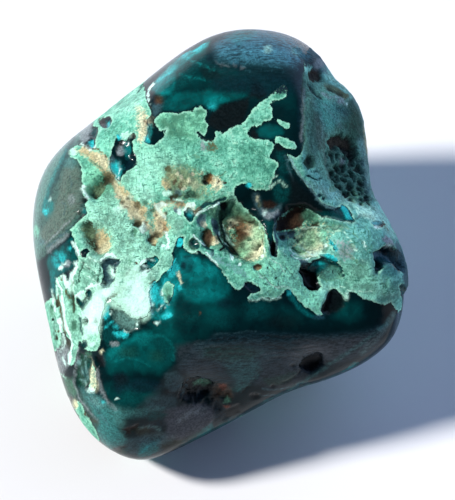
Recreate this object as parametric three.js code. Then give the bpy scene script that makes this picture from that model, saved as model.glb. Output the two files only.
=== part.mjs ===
// Tumbled dioptase pebble, one solid stone. Millimetres, Z up, resting on Z = 0.
import * as THREE from 'three';
import { mergeVertices } from 'three/addons/utils/BufferGeometryUtils.js';

// The show side faces a point high in front of the stone.
const EYE_ELEVATION = 60;
const EYE_DISTANCE = 150;
const CENTRE_HEIGHT = 11;

// Outline of the stone seen from that point: right and up, in mm.
const OUTLINE = [
  [1.2, 15.95], [3.8, 15.6], [5.8, 14.6], [7.1, 13.2],
  [7.5, 12.4], [8.9, 11.2], [9.7, 9.6], [10.1, 6.6],
  [10.4, 4.2], [11.7, 1.8], [12.8, -0.7], [13.2, -3.4],
  [12.2, -5.9], [10.2, -7.9], [7.6, -9.2], [4.4, -10.2],
  [1.7, -11.6], [-1.8, -13.5], [-5.0, -14.95], [-6.9, -15.0],
  [-9.2, -13.7], [-11.0, -11.4], [-12.1, -8.4], [-12.8, -5.2],
  [-13.7, -1.5], [-13.95, 1.6], [-13.5, 4.7], [-12.0, 7.2],
  [-8.8, 9.8], [-6.4, 11.8], [-3.8, 13.8], [-1.2, 15.4],
];
// How near the eye the widest line runs: at the middle, gained per mm right, gained per mm up.
const LIMB = [-0.4, 0.14, -0.17];
const NEAR_RADIUS = 8;
const FAR_RADIUS = 16;
const SIDE_ROUNDING = 1.2;

// Worn faces: compass angle, angle above level, distance from the centre, rounding of its edges.
const FACES = {
  top: [-127, 73, 6.25, 1.0],
  shoulder: [-58, 54, 7.1, 1.0],
  rightBack: [-13, 43, 8.8, 0.8],
  backTop: [79, 79, 11.7, 1.5],
  lowerFront: [-111, 41, 9.35, 1.0],
  leftFront: [-145, 30, 11.3, 1.2],
  leftBack: [-176, 36, 11.8, 1.5],
  front: [-75, 17, 9.2, 0.6],
  back: [92, -5, 14.9, 2],
  rightEnd: [4, -14, 13.3, 2],
  underRight: [12, -46, 12.4, 3],
  underBack: [80, -42, 13.2, 3],
};
const BASE_ROUNDING = 2;

// Hollows of the show side: right, up, half width, half height, turn, depth. Below zero is a swelling.
const SHOW_HOLLOWS = [
  [12.6, 0.0, 3.4, 4.0, 25, -3.2],
  [1.1, 1.1, 1.3, 2.1, -10, 0.9],
  [5.8, 0.8, 1.2, 1.1, 0, 0.6],
  [2.4, 3.4, 2.0, 0.9, 5, 0.8],
  [4.9, 2.6, 1.8, 0.8, -12, 0.7],
  [6.5, -1.9, 1.5, 0.9, 0, 0.7],
  [11.4, -0.9, 1.1, 1.1, 0, 0.7],
  [-9.0, 4.5, 1.3, 0.9, 0, 0.6],
  [8.4, 6.0, 1.6, 2.3, 0, 0.6],
  [6.4, 12.3, 1.0, 0.8, 30, 0.7],
  [6.0, -8.0, 1.1, 0.8, 10, 0.7],
  [-1.6, -10.0, 1.8, 0.9, -10, 0.7],
];
// Hollows elsewhere: compass angle, angle above level, radius in mm, depth.
const FAR_HOLLOWS = [
  [60, -5, 3.0, 0.5],
  [178, -20, 2.6, 0.4],
  [118, 22, 2.2, 0.35],
];
const TRIANGLE_DETAIL = 19;

const toRadians = Math.PI / 180;
const eyeUp = Math.sin(EYE_ELEVATION * toRadians);
const eyeBack = Math.cos(EYE_ELEVATION * toRadians);

const corners = OUTLINE.map(([x, y]) => new THREE.Vector3(x, y, 0));
const rim = new THREE.CatmullRomCurve3(corners, true, 'catmullrom', 0.5).getPoints(224);

// Distance to the outline, below zero inside it.
function outlineDistance(x, y) {
  let nearest = Infinity;
  let inside = false;
  for (let i = 0; i + 1 < rim.length; i++) {
    const a = rim[i];
    const b = rim[i + 1];
    const ex = b.x - a.x;
    const ey = b.y - a.y;
    const px = x - a.x;
    const py = y - a.y;
    const t = Math.min(1, Math.max(0, (px * ex + py * ey) / (ex * ex + ey * ey)));
    nearest = Math.min(nearest, Math.hypot(px - t * ex, py - t * ey));
    const crosses = (a.y > y) !== (b.y > y);
    if (crosses && x < a.x + ((y - a.y) / ey) * ex) inside = !inside;
  }
  return inside ? -nearest : nearest;
}

// Larger of two numbers, with the corner between them rounded.
function roundedMax(a, b, rounding) {
  if (a === -Infinity) return b;
  const h = Math.max(0, rounding - Math.abs(a - b)) / rounding;
  return Math.max(a, b) + (h * h * rounding) / 4;
}

function direction(azimuth, elevation) {
  const level = Math.cos(elevation * toRadians);
  const x = level * Math.cos(azimuth * toRadians);
  const y = level * Math.sin(azimuth * toRadians);
  return new THREE.Vector3(x, y, Math.sin(elevation * toRadians));
}

const faces = Object.values(FACES).map(([azimuth, elevation, distance, rounding]) => {
  return { normal: direction(azimuth, elevation), distance, rounding };
});
const farHollows = FAR_HOLLOWS.map(([azimuth, elevation, size, depth]) => {
  return { toward: direction(azimuth, elevation), size, depth };
});

// Below zero inside the stone. The point is measured from the stone's centre.
function stone(p) {
  const across = p.x;
  const up = p.y * eyeUp + p.z * eyeBack;
  const near = p.z * eyeUp - p.y * eyeBack;
  const spread = EYE_DISTANCE / (EYE_DISTANCE - near);
  const x = across * spread;
  const y = up * spread;

  const fromLimb = near - (LIMB[0] + LIMB[1] * x + LIMB[2] * y);
  const radius = fromLimb > 0 ? NEAR_RADIUS : FAR_RADIUS;
  const bulge = (fromLimb * fromLimb) / (2 * radius);
  const slant = Math.hypot(1, fromLimb / radius);
  const side = (outlineDistance(x, y) / spread + bulge) / slant;

  let f = -Infinity;
  for (const face of faces) {
    f = roundedMax(f, face.normal.dot(p) - face.distance, face.rounding);
  }
  const showing = THREE.MathUtils.smoothstep(fromLimb, -1, 1);
  for (const [hx, hy, rx, ry, turn, depth] of SHOW_HOLLOWS) {
    const c = Math.cos(turn * toRadians);
    const s = Math.sin(turn * toRadians);
    const a = ((x - hx) * c + (y - hy) * s) / rx;
    const b = ((y - hy) * c - (x - hx) * s) / ry;
    f += showing * depth * Math.exp(-a * a - b * b);
  }
  f = roundedMax(f, side, SIDE_ROUNDING);
  const length = p.length();
  for (const { toward, size, depth } of farHollows) {
    const away = (toward.angleTo(p) * length) / size;
    f += depth * Math.exp(-away * away);
  }
  return roundedMax(f, -p.z - CENTRE_HEIGHT, BASE_ROUNDING);
}

// Slides every point of a ball out along its own ray to the stone's skin.
function stoneGeometry() {
  const ball = new THREE.IcosahedronGeometry(1, TRIANGLE_DETAIL);
  ball.deleteAttribute('normal');
  ball.deleteAttribute('uv');
  const skin = mergeVertices(ball, 1e-5);
  const position = skin.getAttribute('position');
  const ray = new THREE.Vector3();
  const p = new THREE.Vector3();
  for (let i = 0; i < position.count; i++) {
    ray.fromBufferAttribute(position, i).normalize();
    let low = 2;
    let high = 24;
    for (let step = 0; step < 40; step++) {
      const middle = (low + high) / 2;
      if (stone(p.copy(ray).multiplyScalar(middle)) < 0) low = middle;
      else high = middle;
    }
    p.copy(ray).multiplyScalar(low);
    const onBase = Math.abs(p.z + CENTRE_HEIGHT) < 1e-4;
    position.setXYZ(i, p.x, p.y, onBase ? -CENTRE_HEIGHT : p.z);
  }
  skin.computeBoundingBox();
  const { min, max } = skin.boundingBox;
  skin.translate(-(min.x + max.x) / 2, -(min.y + max.y) / 2, -min.z);
  skin.computeVertexNormals();
  return skin;
}

const dioptase = new THREE.MeshStandardMaterial({ color: 0x2f8f80, roughness: 0.35, metalness: 0 });

const stoneMesh = new THREE.Mesh(stoneGeometry(), dioptase);
stoneMesh.name = 'dioptase_stone';

const part = new THREE.Group();
part.name = 'dioptase_specimen';
part.add(stoneMesh);

export default part;
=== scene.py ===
import math

import bpy
import numpy as np
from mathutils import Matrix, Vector, noise


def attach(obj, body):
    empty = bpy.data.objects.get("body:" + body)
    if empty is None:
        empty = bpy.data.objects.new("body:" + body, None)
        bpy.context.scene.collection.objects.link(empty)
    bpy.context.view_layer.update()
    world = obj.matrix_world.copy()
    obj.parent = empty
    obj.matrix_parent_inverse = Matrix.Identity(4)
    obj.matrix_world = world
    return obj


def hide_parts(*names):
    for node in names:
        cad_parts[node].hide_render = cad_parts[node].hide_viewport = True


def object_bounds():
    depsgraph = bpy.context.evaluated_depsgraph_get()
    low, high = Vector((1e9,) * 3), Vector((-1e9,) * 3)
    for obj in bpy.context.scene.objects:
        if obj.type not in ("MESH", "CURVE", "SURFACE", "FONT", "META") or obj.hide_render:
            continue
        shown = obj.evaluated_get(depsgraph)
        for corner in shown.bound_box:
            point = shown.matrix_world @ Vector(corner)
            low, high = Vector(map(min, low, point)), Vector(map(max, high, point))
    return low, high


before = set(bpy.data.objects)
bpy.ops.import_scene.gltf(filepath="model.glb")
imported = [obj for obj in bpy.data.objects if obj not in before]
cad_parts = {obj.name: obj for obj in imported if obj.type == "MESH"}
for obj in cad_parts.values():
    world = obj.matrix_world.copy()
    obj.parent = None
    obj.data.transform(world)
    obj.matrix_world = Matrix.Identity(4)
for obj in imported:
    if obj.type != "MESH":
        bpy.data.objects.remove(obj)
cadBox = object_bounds()
perMetre = 1000      # mm
print("frame loaded")

# The show side is drawn on a flat grid seen from the display direction: 14 steps to
# the millimetre, counted right and down from a corner above left of the stone.
showSide = {
    "middle": (0.72256, -1.03010, 11.0),    # mm, the point the grid is centred on
    "elevation": 60.0,                      # degrees above the floor, from the front
    "distance": 150.0,                      # mm, where the eye stands
    "limb": (-0.4, 0.14, -0.17),            # mm, how far the widest outline lies back
    "stepsPerMm": 14.0,
    "gridMiddle": (227.5, 250.0),
    "fade": (0.3, -1.7),                    # mm, where the marks end behind that outline
    "fadeUneven": 0.6,
    "edgeUneven": 1.1,                      # steps, how uneven the edge of a mark is
    "edgeFineUneven": 0.4,
    "edgeBroken": 2.2,                      # the same on broken ground
    "leastSoftness": 0.3,
    "dimInsideLight": 0.1,                         # of the dioptase where no mark says more
}

cameraSetup = {"sensorHeight": 36.0, "lens": 151.2, "nearClip": 0.001}

elevation = math.radians(showSide["elevation"])
towards = Vector((0, -math.cos(elevation), math.sin(elevation)))
cameraData = bpy.data.cameras.new("display_camera")
cameraData.sensor_fit = "VERTICAL"
cameraData.sensor_height = cameraSetup["sensorHeight"]
cameraData.lens = cameraSetup["lens"]
cameraData.clip_start = cameraSetup["nearClip"]
camera = bpy.data.objects.new("display_camera", cameraData)
bpy.context.collection.objects.link(camera)
camera.location = Vector(showSide["middle"]) / perMetre + towards * showSide["distance"] / perMetre
camera.rotation_euler = towards.to_track_quat("Z", "Y").to_euler()
bpy.context.scene.camera = camera

stoneShape = {
    "levels": 2,              # each level quarters the CAD faces
    "mergeWithin": 1e-6,      # m
    "crustRelief": 0.05,      # mm, low swellings of the crust
    "crustSlope": 0.2,        # mm inside the crust, where they are full
    "windowDepth": 0.12,      # mm, glassy windows lie this far under the crust
    "windowSlope": 4,         # steps from their edge to their floor
    "gritRelief": 0.10,       # mm, rough places
    "gritSink": 0.3,          # how much lower they lie, as a share of that
    "combCell": 0.72,         # mm
    "combDepth": 0.26,
    "combBend": 0.22,
    "combWall": (0.06, 0.34), # from the top of a wall to the floor of a cell, in cells
    "combDark": 0.85,
    "combLeast": 0.02,        # no cells where the ground is less honeycombed than this
    "footHeight": 0.6,        # mm, the relief fades out towards the resting face
    "boxMargin": 0.001,
}
farPits = {                   # small pits on the sides away from the show side
    "number": 46,
    "seed": 7,
    "radius": (0.25, 0.95),   # mm
    "uneven": 0.18,
    "floor": 0.35,            # as shares of the radius
    "depth": 0.42,
    "dark": 0.7,
    "farEnough": 0.9,
    "insideCrust": 0.25,      # mm
    "lowest": 1.2,            # mm above the resting face
}
# noises over the skin: size of the features in mm, shift, octaves
skinNoises = {
    "edgeX": (0.55, 3.1, 3),
    "edgeY": (0.55, 17.9, 3),
    "edgeFineX": (0.2, 8.3, 2),
    "edgeFineY": (0.2, 23.3, 2),
    "edgeBrokenX": (0.35, 5.5, 2),
    "edgeBrokenY": (0.35, 9.5, 2),
    "fade": (1.5, 40.0, 3),
    "farCrust": (6.5, 51.0, 4),
    "farSmallCrust": (1.6, 61.0, 4),
    "farInsideLight": (2.4, 71.0, 4),
    "farVeil": (4.5, 111.0, 3),
    "farGrit": (2.0, 121.0, 3),
    "farComb": (4.0, 161.0, 3),
    "farLeafMint": (4.8, 101.0, 3),
    "farBlueMint": (5.2, 105.0, 3),
    "farPaleMint": (3.2, 91.0, 3),
    "farOchre": (2.2, 81.0, 3),
    "farCream": (1.9, 83.0, 3),
    "farPits": (0.5, 150.0, 2),
    "crustRelief": (0.7, 131.0, 3),
    "gritRelief": (0.35, 141.0, 3),
    "combX": (0.5, 171.0, 2),
    "combY": (0.5, 181.0, 2),
    "combZ": (0.5, 191.0, 2),
}
noiseSetup = {"shiftWay": (1, 1.7, -0.6), "roughness": 0.9, "gap": 2.0}

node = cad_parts["dioptase_stone"]
stone = bpy.data.objects.new("polished_dioptase", node.data.copy())
bpy.context.collection.objects.link(stone)
bpy.ops.object.select_all(action="DESELECT")
stone.select_set(True)
bpy.context.view_layer.objects.active = stone
bpy.ops.object.mode_set(mode="EDIT")
bpy.ops.mesh.select_all(action="SELECT")
bpy.ops.mesh.remove_doubles(threshold=stoneShape["mergeWithin"])
bpy.ops.object.mode_set(mode="OBJECT")
rounding = stone.modifiers.new("rounding", "SUBSURF")
rounding.levels = rounding.render_levels = stoneShape["levels"]
bpy.ops.object.modifier_apply(modifier=rounding.name)
stone.data.polygons.foreach_set("use_smooth", [True] * len(stone.data.polygons))
print("stone copied and subdivided:", len(stone.data.vertices), "points")

count = len(stone.data.vertices)
points = np.empty(count * 3, np.float32)
stone.data.vertices.foreach_get("co", points)
points = points.reshape(-1, 3).astype(float) * perMetre
normals = np.array([v.normal[:] for v in stone.data.vertices])

# where every point of the skin falls on the grid, and how far it is on the show side
offset = points - np.array(showSide["middle"])
near = -math.cos(elevation) * offset[:, 1] + math.sin(elevation) * offset[:, 2]
spread = showSide["distance"] / (showSide["distance"] - near)
right = offset[:, 0] * spread
up = (math.sin(elevation) * offset[:, 1] + math.cos(elevation) * offset[:, 2]) * spread
limb = showSide["limb"]
fromLimb = near - (limb[0] + limb[1] * right + limb[2] * up)
gridX = showSide["gridMiddle"][0] + right * showSide["stepsPerMm"]
gridY = showSide["gridMiddle"][1] - up * showSide["stepsPerMm"]


def smooth(low, high, value):
    t = np.clip((value - low) / (high - low), 0, 1)
    return t * t * (3 - 2 * t)


# a noise at every point of the skin, about -1 to 1
def grain(name, further=0.0):
    size, shift, octaves = skinNoises[name]
    move = Vector([(shift + further) * way for way in noiseSetup["shiftWay"]])
    return np.array([
        noise.fractal(Vector(p) / size + move, noiseSetup["roughness"], noiseSetup["gap"], octaves)
        for p in points
    ])


inkX = (gridX + grain("edgeX") * showSide["edgeUneven"]
        + grain("edgeFineX") * showSide["edgeFineUneven"])
inkY = (gridY + grain("edgeY") * showSide["edgeUneven"]
        + grain("edgeFineY") * showSide["edgeFineUneven"])
farSide = smooth(*showSide["fade"], fromLimb + grain("fade") * showSide["fadeUneven"])


# a flat row of numbers as points
def pairsOf(flat):
    return list(zip(flat[::2], flat[1::2]))


notZero = 1e-9      # keeps a stretch without length from dividing by zero


# grid steps to a line of straight stretches
def lineDistance(x, y, line):
    best = np.full(x.shape, np.inf)
    for (ax, ay), (bx, by) in zip(line, line[1:]):
        dx, dy = bx - ax, by - ay
        t = np.clip(((x - ax) * dx + (y - ay) * dy) / (dx * dx + dy * dy + notZero), 0, 1)
        best = np.minimum(best, (x - ax - t * dx) ** 2 + (y - ay - t * dy) ** 2)
    return np.sqrt(best)


# grid steps to a closed outline, more than 0 inside it
def outlineDistance(x, y, outline):
    inside = np.zeros(x.shape, bool)
    for (ax, ay), (bx, by) in zip(outline, outline[1:] + outline[:1]):
        if ay != by:
            inside ^= ((ay > y) != (by > y)) & (x < (bx - ax) * (y - ay) / (by - ay) + ax)
    return np.where(inside, 1, -1) * lineDistance(x, y, outline + outline[:1])


# how far inside the nearest of these outlines every point lies, in grid steps
def insideOutlines(outlines):
    deepest = np.full(count, -np.inf)
    for outline in outlines.values():
        deepest = np.maximum(deepest, outlineDistance(gridX, gridY, pairsOf(outline)))
    return deepest


# grid steps inside an ellipse's edge, less than 0 outside it
def dabDistance(x, y, cx, cy, rx, ry, turn=0):
    c, s = math.cos(math.radians(turn)), math.sin(math.radians(turn))
    u = ((x - cx) * c - (y - cy) * s) / rx
    v = ((x - cx) * s + (y - cy) * c) / ry
    return (1 - np.sqrt(u * u + v * v)) * min(rx, ry)


# A mark is ("area" or "dab" or a line's width, value, softness, place). This gives
# the points of the skin that it reaches, and how strongly it covers each.
def markCover(kind, value, soft, place):
    soft = max(soft, showSide["leastSoftness"])
    if kind == "dab":
        reach = max(place[2:4])
        xs, ys = (place[0] - reach, place[0] + reach), (place[1] - reach, place[1] + reach)
    else:
        place = pairsOf(place)
        xs, ys = zip(*place)
    margin = soft + (0 if isinstance(kind, str) else kind)
    reached = np.flatnonzero(
        (inkX > min(xs) - margin) & (inkX < max(xs) + margin)
        & (inkY > min(ys) - margin) & (inkY < max(ys) + margin) & (farSide < 1))
    x, y = inkX[reached], inkY[reached]
    if kind == "dab":
        distance = dabDistance(x, y, *place)
    elif kind == "area":
        distance = outlineDistance(x, y, place)
    else:
        distance = kind / 2 - lineDistance(x, y, place)
    return reached, smooth(-soft, soft, distance)


# one layer over the skin, from a list of marks
def paintLayer(marks, ground=0.0):
    layer = np.full(count, ground)
    for mark in marks:
        reached, cover = markCover(*mark)
        layer[reached] += (mark[1] - layer[reached]) * cover
    return layer


# outlines of the crust on the show side, in grid steps
crustOutlines = {
    "upperCrust": (136,76, 143,84, 145,90, 146,97, 148,104, 151,110, 152,114, 149,118, 147,122,
        149,126, 149,132, 146,137, 145,142, 148,145, 152,145, 157,143, 162,139, 165,134, 167,129,
        163,131, 160,131, 157,127, 154,122, 155,118, 159,115, 162,112, 167,112, 172,112, 177,114,
        181,112, 187,111, 192,111, 195,108, 198,108, 201,105, 204,108, 207,111, 208,114, 206,118,
        206,121, 208,124, 208,129, 207,133, 205,136, 202,135, 199,132, 197,133, 199,136, 203,139,
        205,142, 208,141, 211,142, 214,140, 216,136, 215,132, 218,130, 221,132, 223,134, 226,132,
        229,129, 232,127, 237,125, 241,124, 245,122, 246,119, 250,114, 254,109, 259,103, 264,100,
        269,96, 274,92, 279,88, 283,84, 286,86, 288,91, 286,97, 283,100, 278,101, 273,101,
        270,103, 272,107, 272,111, 273,116, 271,120, 268,121, 265,121, 262,125, 257,126, 252,127,
        250,130, 248,134, 252,138, 258,139, 264,139, 270,140, 274,142, 275,146, 273,151, 271,154,
        271,158, 274,160, 277,162, 279,166, 277,170, 275,173, 275,177, 272,181, 271,186, 271,190,
        267,191, 261,190, 255,190, 250,189, 247,185, 243,184, 238,185, 235,188, 234,192, 235,196,
        239,201, 244,206, 249,210, 254,215, 259,220, 263,226, 265,231, 267,237, 269,241, 270,246,
        272,252, 274,256, 277,257, 278,252, 276,246, 274,241, 273,236, 273,228, 276,220, 281,214,
        288,210, 296,208, 303,208, 308,210, 313,212, 318,214, 322,217, 327,217, 333,218, 339,220,
        345,221, 350,222, 354,222, 353,218, 351,213, 349,209, 346,206, 342,205, 338,207, 333,208,
        328,206, 322,203, 318,198, 314,192, 308,187, 303,181, 299,175, 295,170, 292,164, 289,158,
        286,153, 291,155, 296,158, 300,154, 303,148, 304,140, 305,130, 305,120, 304,110, 303,100,
        302,90, 303,80, 304,70, 304,58, 310,46, 330,45, 352,75, 378,98, 392,160, 390,198, 404,214,
        432,250, 440,290, 425,320, 408,316, 403,317, 398,312, 394,307, 391,302, 387,303, 383,306,
        378,303, 372,301, 366,300, 360,296, 353,292, 349,292, 349,297, 347,301, 345,298, 343,295,
        339,292, 335,289, 331,289, 329,292, 327,297, 326,301, 323,305, 321,309, 322,312, 323,315,
        319,316, 315,314, 311,310, 306,308, 302,304, 298,300, 295,296, 292,292, 289,288, 286,290,
        284,293, 281,296, 277,299, 272,299, 267,298, 262,299, 257,301, 253,302, 249,300, 248,297,
        251,294, 257,292, 261,292, 260,288, 256,285, 251,282, 246,283, 243,287, 240,290, 236,290,
        233,287, 231,284, 228,281, 226,277, 223,273, 220,269, 217,265, 213,261, 209,257, 204,254,
        199,251, 193,254, 187,251, 184,248, 183,243, 184,237, 180,236, 177,239, 176,244, 177,248,
        174,250, 172,254, 174,258, 173,264, 171,272, 166,272, 161,275, 160,280, 155,283, 152,287,
        149,293, 150,298, 151,303, 151,309, 148,315, 144,318, 138,320, 132,319, 128,316, 125,312,
        121,307, 116,303, 112,300, 108,297, 106,302, 104,309, 102,316, 100,322, 98,328, 100,334,
        101,342, 99,348, 95,351, 90,352, 86,350, 82,346, 81,341, 79,341, 79,348, 77,355, 75,362,
        72,367, 69,365, 67,358, 68,351, 70,344, 69,340, 66,338, 64,333, 62,332, 62,339, 61,345,
        58,350, 54,352, 49,352, 44,330, 42,308, 47,301, 52,298, 55,292, 55,284, 58,277, 62,274,
        66,275, 70,281, 72,274, 77,265, 78,257, 76,249, 74,241, 72,235, 70,230, 76,223, 82,219,
        87,213, 85,206, 86,199, 83,193, 82,184, 82,174, 80,165, 76,159, 70,157, 70,150, 74,146,
        80,144, 86,148, 90,149, 94,149, 95,143, 96,137, 98,131, 96,127, 93,126, 94,121, 97,116,
        103,110, 112,98, 124,84),
    "rodLow": (274,141, 275,138, 279,136, 284,137, 290,140, 295,142, 297,147, 296,150, 292,149,
        288,149, 284,147, 279,144),
    "rodHigh": (274,119, 279,120, 285,121, 289,123, 291,126, 289,129, 286,129, 281,126, 277,122),
    "drop": (161,288, 165,283, 170,281, 174,286, 174,292, 172,299, 168,304, 164,302, 162,296),
    "cornerStrip": (74,403, 78,401, 82,404, 84,410, 87,416, 91,421, 95,428, 98,434, 100,441,
        97,445, 92,441, 87,435, 83,429, 81,422, 78,415, 75,409),
    "oliveVein": (88,357, 91,359, 94,366, 97,374, 97,384, 97,390, 92,393, 88,390, 90,382, 89,372,
        88,364),
    "palePatchTop": (293,47, 298,47, 303,52, 306,57, 303,59, 298,56, 293,52),
}

# glassy windows inside the crust
windowOutlines = {
    "highPocket": (99,119, 104,117, 110,116, 112,119, 110,124, 107,128, 102,127, 99,123),
    "leftStreak": (97,127, 98,133, 95,137, 95,142, 94,148, 90,149, 86,145, 88,138, 91,132,
        94,127),
    "lens": (117,138, 121,140, 127,142, 130,135, 134,133, 136,136, 133,141, 132,147, 134,153,
        137,158, 135,163, 131,168, 126,171, 123,175, 119,182, 116,180, 112,174, 110,169, 109,163,
        111,157, 112,150, 114,144),
    "midSpot": (189,207, 193,209, 196,212, 200,209, 204,207, 207,206, 204,209, 199,212, 195,215,
        193,220, 190,223, 188,219, 185,216, 184,212),
    "roundSpot": (191,239, 193,236, 196,240, 199,244, 196,248, 192,249, 189,246, 189,242),
    "rightBowl": (299,267, 304,263, 309,264, 314,261, 321,259, 329,261, 336,263, 340,267, 342,273,
        341,278, 338,274, 333,271, 327,272, 321,273, 318,277, 319,282, 321,286, 317,288, 311,288,
        305,286, 304,282, 303,277, 300,273),
    "endPocket": (375,252, 380,251, 383,248, 388,245, 393,246, 398,250, 402,256, 404,263, 404,270,
        399,272, 393,268, 388,265, 384,268, 380,272, 377,268, 377,262, 374,258),
    "endSlit": (400,285, 404,287, 406,291, 407,297, 404,299, 401,296, 401,290),
    "tealSeam": (320,255, 324,253, 330,255, 334,259, 339,263, 333,262, 327,260, 321,258),
    "tealDash": (329,239, 333,243, 338,250, 334,249, 331,245),
    "endSeam": (371,222, 377,221, 383,222, 386,225, 382,227, 377,228, 374,226),
    "flankPocket": (101,262, 106,259, 112,259, 120,259, 119,263, 115,266, 115,273, 114,279,
        111,284, 106,288, 101,286, 102,281, 104,276, 103,270, 102,266),
    "flankTeal": (150,258, 155,256, 159,259, 155,265, 150,268, 145,270, 141,270, 141,266, 145,263,
        148,261),
    "flankHole": (77,296, 76,302, 79,307, 82,310, 86,306, 89,301, 87,297, 91,291, 89,289, 86,293,
        86,298, 82,302, 79,299),
    "smallHole": (82,321, 86,317, 89,322, 86,326, 83,324),
    "edgeHole": (67,275, 71,279, 70,283, 66,280),
    "greenHole": (80,251, 86,248, 89,251, 85,258, 81,257),
    "greySpot": (82,341, 87,341, 87,346, 84,348, 82,345),
}


# painted light inside the dioptase: how bright its teal shows where light enters it and reflects
# off inner faces; the lowest level is its own dark teal
insideLightMarks = [
    ("area", .22, 9, (160,96, 172,60, 206,46, 216,60, 240,72, 296,84, 298,110, 240,96, 200,92)),
    ("area", .4, 7.2, (150,322, 165,320, 176,302, 190,298, 204,304, 204,322, 192,336, 178,345,
        168,340, 152,332)),
    ("area", .19, 9.6, (176,296, 232,296, 300,304, 340,316, 330,328, 232,330, 196,344, 176,340)),
    ("area", .66, 1.8, (152,90, 154,82, 159,76, 166,69, 175,60, 184,56, 182,64, 176,71, 176,81,
        174,91, 165,97, 157,95)),
    ("area", .95, 3, (166,72, 170,66, 178,61, 186,55, 194,50, 203,43, 210,40, 207,47, 199,54,
        190,59, 184,65, 178,70)),
    ("area", .42, 1.8, (172,93, 185,91, 197,92, 210,90, 220,91, 232,91, 244,92, 247,95, 240,99,
        230,102, 222,105, 217,111, 211,111, 207,107, 202,104, 196,105, 188,109, 180,111, 170,111,
        163,110, 161,104, 168,98)),
    ("area", .62, 3, (203,98, 212,96, 222,96, 228,99, 220,104, 214,109, 208,106)),
    ("area", .45, 2.4, (260,127, 268,123, 276,124, 282,128, 284,133, 279,136, 272,138, 262,138,
        256,134)),
    ("area", .6, 4.2, (180,262, 196,258, 210,260, 222,270, 232,284, 230,296, 216,303, 200,303,
        186,300, 179,290, 178,275)),
    ("area", .95, 5.4, (160,281, 163,274, 172,272, 176,264, 176,254, 181,250, 190,254, 197,257,
        196,262, 188,265, 183,270, 180,277, 181,288, 176,297, 173,303, 171,308, 172,315, 165,320,
        158,321, 153,316, 152,308, 151,300, 149,293, 152,286, 156,283)),
    ("area", 1.3, 1.2, (161,317, 165,313, 170,313, 173,315, 169,318, 164,319)),
    ("area", 1.15, 1.2, (177,240, 180,237, 183,239, 183,244, 180,247, 177,246)),
    ("area", .38, 6, (107,356, 112,350, 125,346, 140,337, 155,334, 168,338, 174,347, 175,357,
        170,368, 160,374, 150,372, 135,372, 122,374, 110,374, 106,366)),
    ("area", .62, 3, (107,352, 112,348, 124,341, 138,333, 152,331, 152,336, 140,339, 126,348,
        114,356, 108,361)),
    ("area", .24, 3, (103,384, 110,382, 114,392, 124,402, 128,408, 118,409, 108,402, 103,393)),
    ("area", 1.2, 1.2, (112,333, 117,331, 123,331, 128,334, 125,338, 118,338, 113,336)),
    ("area", .9, 1.5, (104,305, 109,304, 110,310, 106,319, 103,318, 103,311)),
    ("area", .9, 3, (52,258, 58,253, 65,253, 66,259, 62,266, 57,268, 52,264)),
    ("area", .55, 3, (46,262, 50,254, 60,247, 72,238, 75,248, 77,258, 72,268, 64,272, 56,284,
        53,296, 50,290, 52,276, 48,268)),
    ("area", .65, 2.4, (40,206, 46,202, 53,206, 53,214, 47,219, 41,214)),
    ("area", 1.1, 1.8, (109,165, 113,159, 118,163, 121,170, 119,179, 116,179, 112,172)),
    ("area", .95, 1.2, (146,137, 149,139, 150,143, 147,144, 145,141)),
    ("area", .9, 1.8, (88,143, 92,140, 94,146, 90,148)),
    ("area", .7, 1.5, (105,120, 109,121, 109,126, 106,127)),
    ("area", .5, 1.8, (310,268, 315,264, 322,262, 328,263, 327,267, 320,269, 313,271)),
    ("area", .8, 1.2, (322,255, 330,256, 334,260, 328,259)),
    ("area", .5, 1.8, (343,207, 347,208, 351,214, 352,219, 348,215)),
    ("area", .7, 1.5, (188,218, 191,217, 192,222, 190,223)),
    ("area", .42, 7.2, (246,304, 262,302, 270,310, 262,318, 248,316)),
    ("area", .36, 7.2, (342,300, 360,304, 364,316, 350,322, 338,316)),
    ("area", .36, 7.2, (204,306, 222,304, 232,312, 222,324, 206,322)),
    ("area", .3, 7.2, (282,304, 296,308, 300,320, 286,322, 276,314)),
    ("area", .34, 6, (108,384, 124,380, 150,384, 162,388, 156,398, 136,406, 122,402, 110,394)),
]

# thin grey cover over the glass
veilMarks = [
    ("area", .8, 2, (93,124, 84,138, 76,146, 70,150, 69,155, 78,160, 81,168, 83,190, 86,210,
        76,223, 66,238, 52,248, 38,262, 20,262, 15,180, 50,110, 85,95)),
    ("area", .55, 6, (85,392, 100,402, 125,412, 125,500, 60,500, 60,392)),
]

# scratched, scuffed glass, whose blue-grey colour is painted reflection of the bright room
scuffAndReflectionMarks = [
    ("area", .8, 4, (212,44, 222,32, 250,20, 300,30, 320,60, 300,68, 270,62, 235,64, 215,58)),
    ("area", .25, 6, (204,60, 240,64, 300,68, 296,84, 220,84)),
    ("area", .75, 2.5, (178,368, 192,348, 214,335, 260,332, 322,334, 361,331, 388,324, 376,350,
        330,366, 280,380, 240,386, 200,380)),
]

# rough, broken ground
gritMarks = [
    ("area", .42, 8, (100,182, 126,196, 156,206, 178,226, 164,250, 130,256, 104,254, 92,226)),
    ("area", 1, 6, (160,172, 172,164, 190,166, 206,170, 218,178, 220,192, 206,196, 190,198,
        174,200, 164,190)),
    (10, .7, 3, (84,150, 103,163, 115,184, 130,202, 140,212)),
    ("dab", .8, 4, (158,225, 10,12)),
    ("dab", .8, 4, (101,240, 9,12)),
    ("dab", 1, 4, (246,236, 18,26)),
    ("dab", .8, 4, (312,235, 22,20)),
    ("area", .7, 5, (318,134, 345,130, 372,160, 380,200, 360,205, 335,180)),
    ("dab", 1, 5, (206,392, 26,12)),
    ("dab", .3, 6, (290,278, 30,14)),
]

# honeycombed ground
combMarks = [
    ("area", 1, 3, (327,150, 340,148, 356,150, 364,160, 368,180, 373,206, 360,204, 346,198,
        334,184, 328,168)),
]

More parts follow.
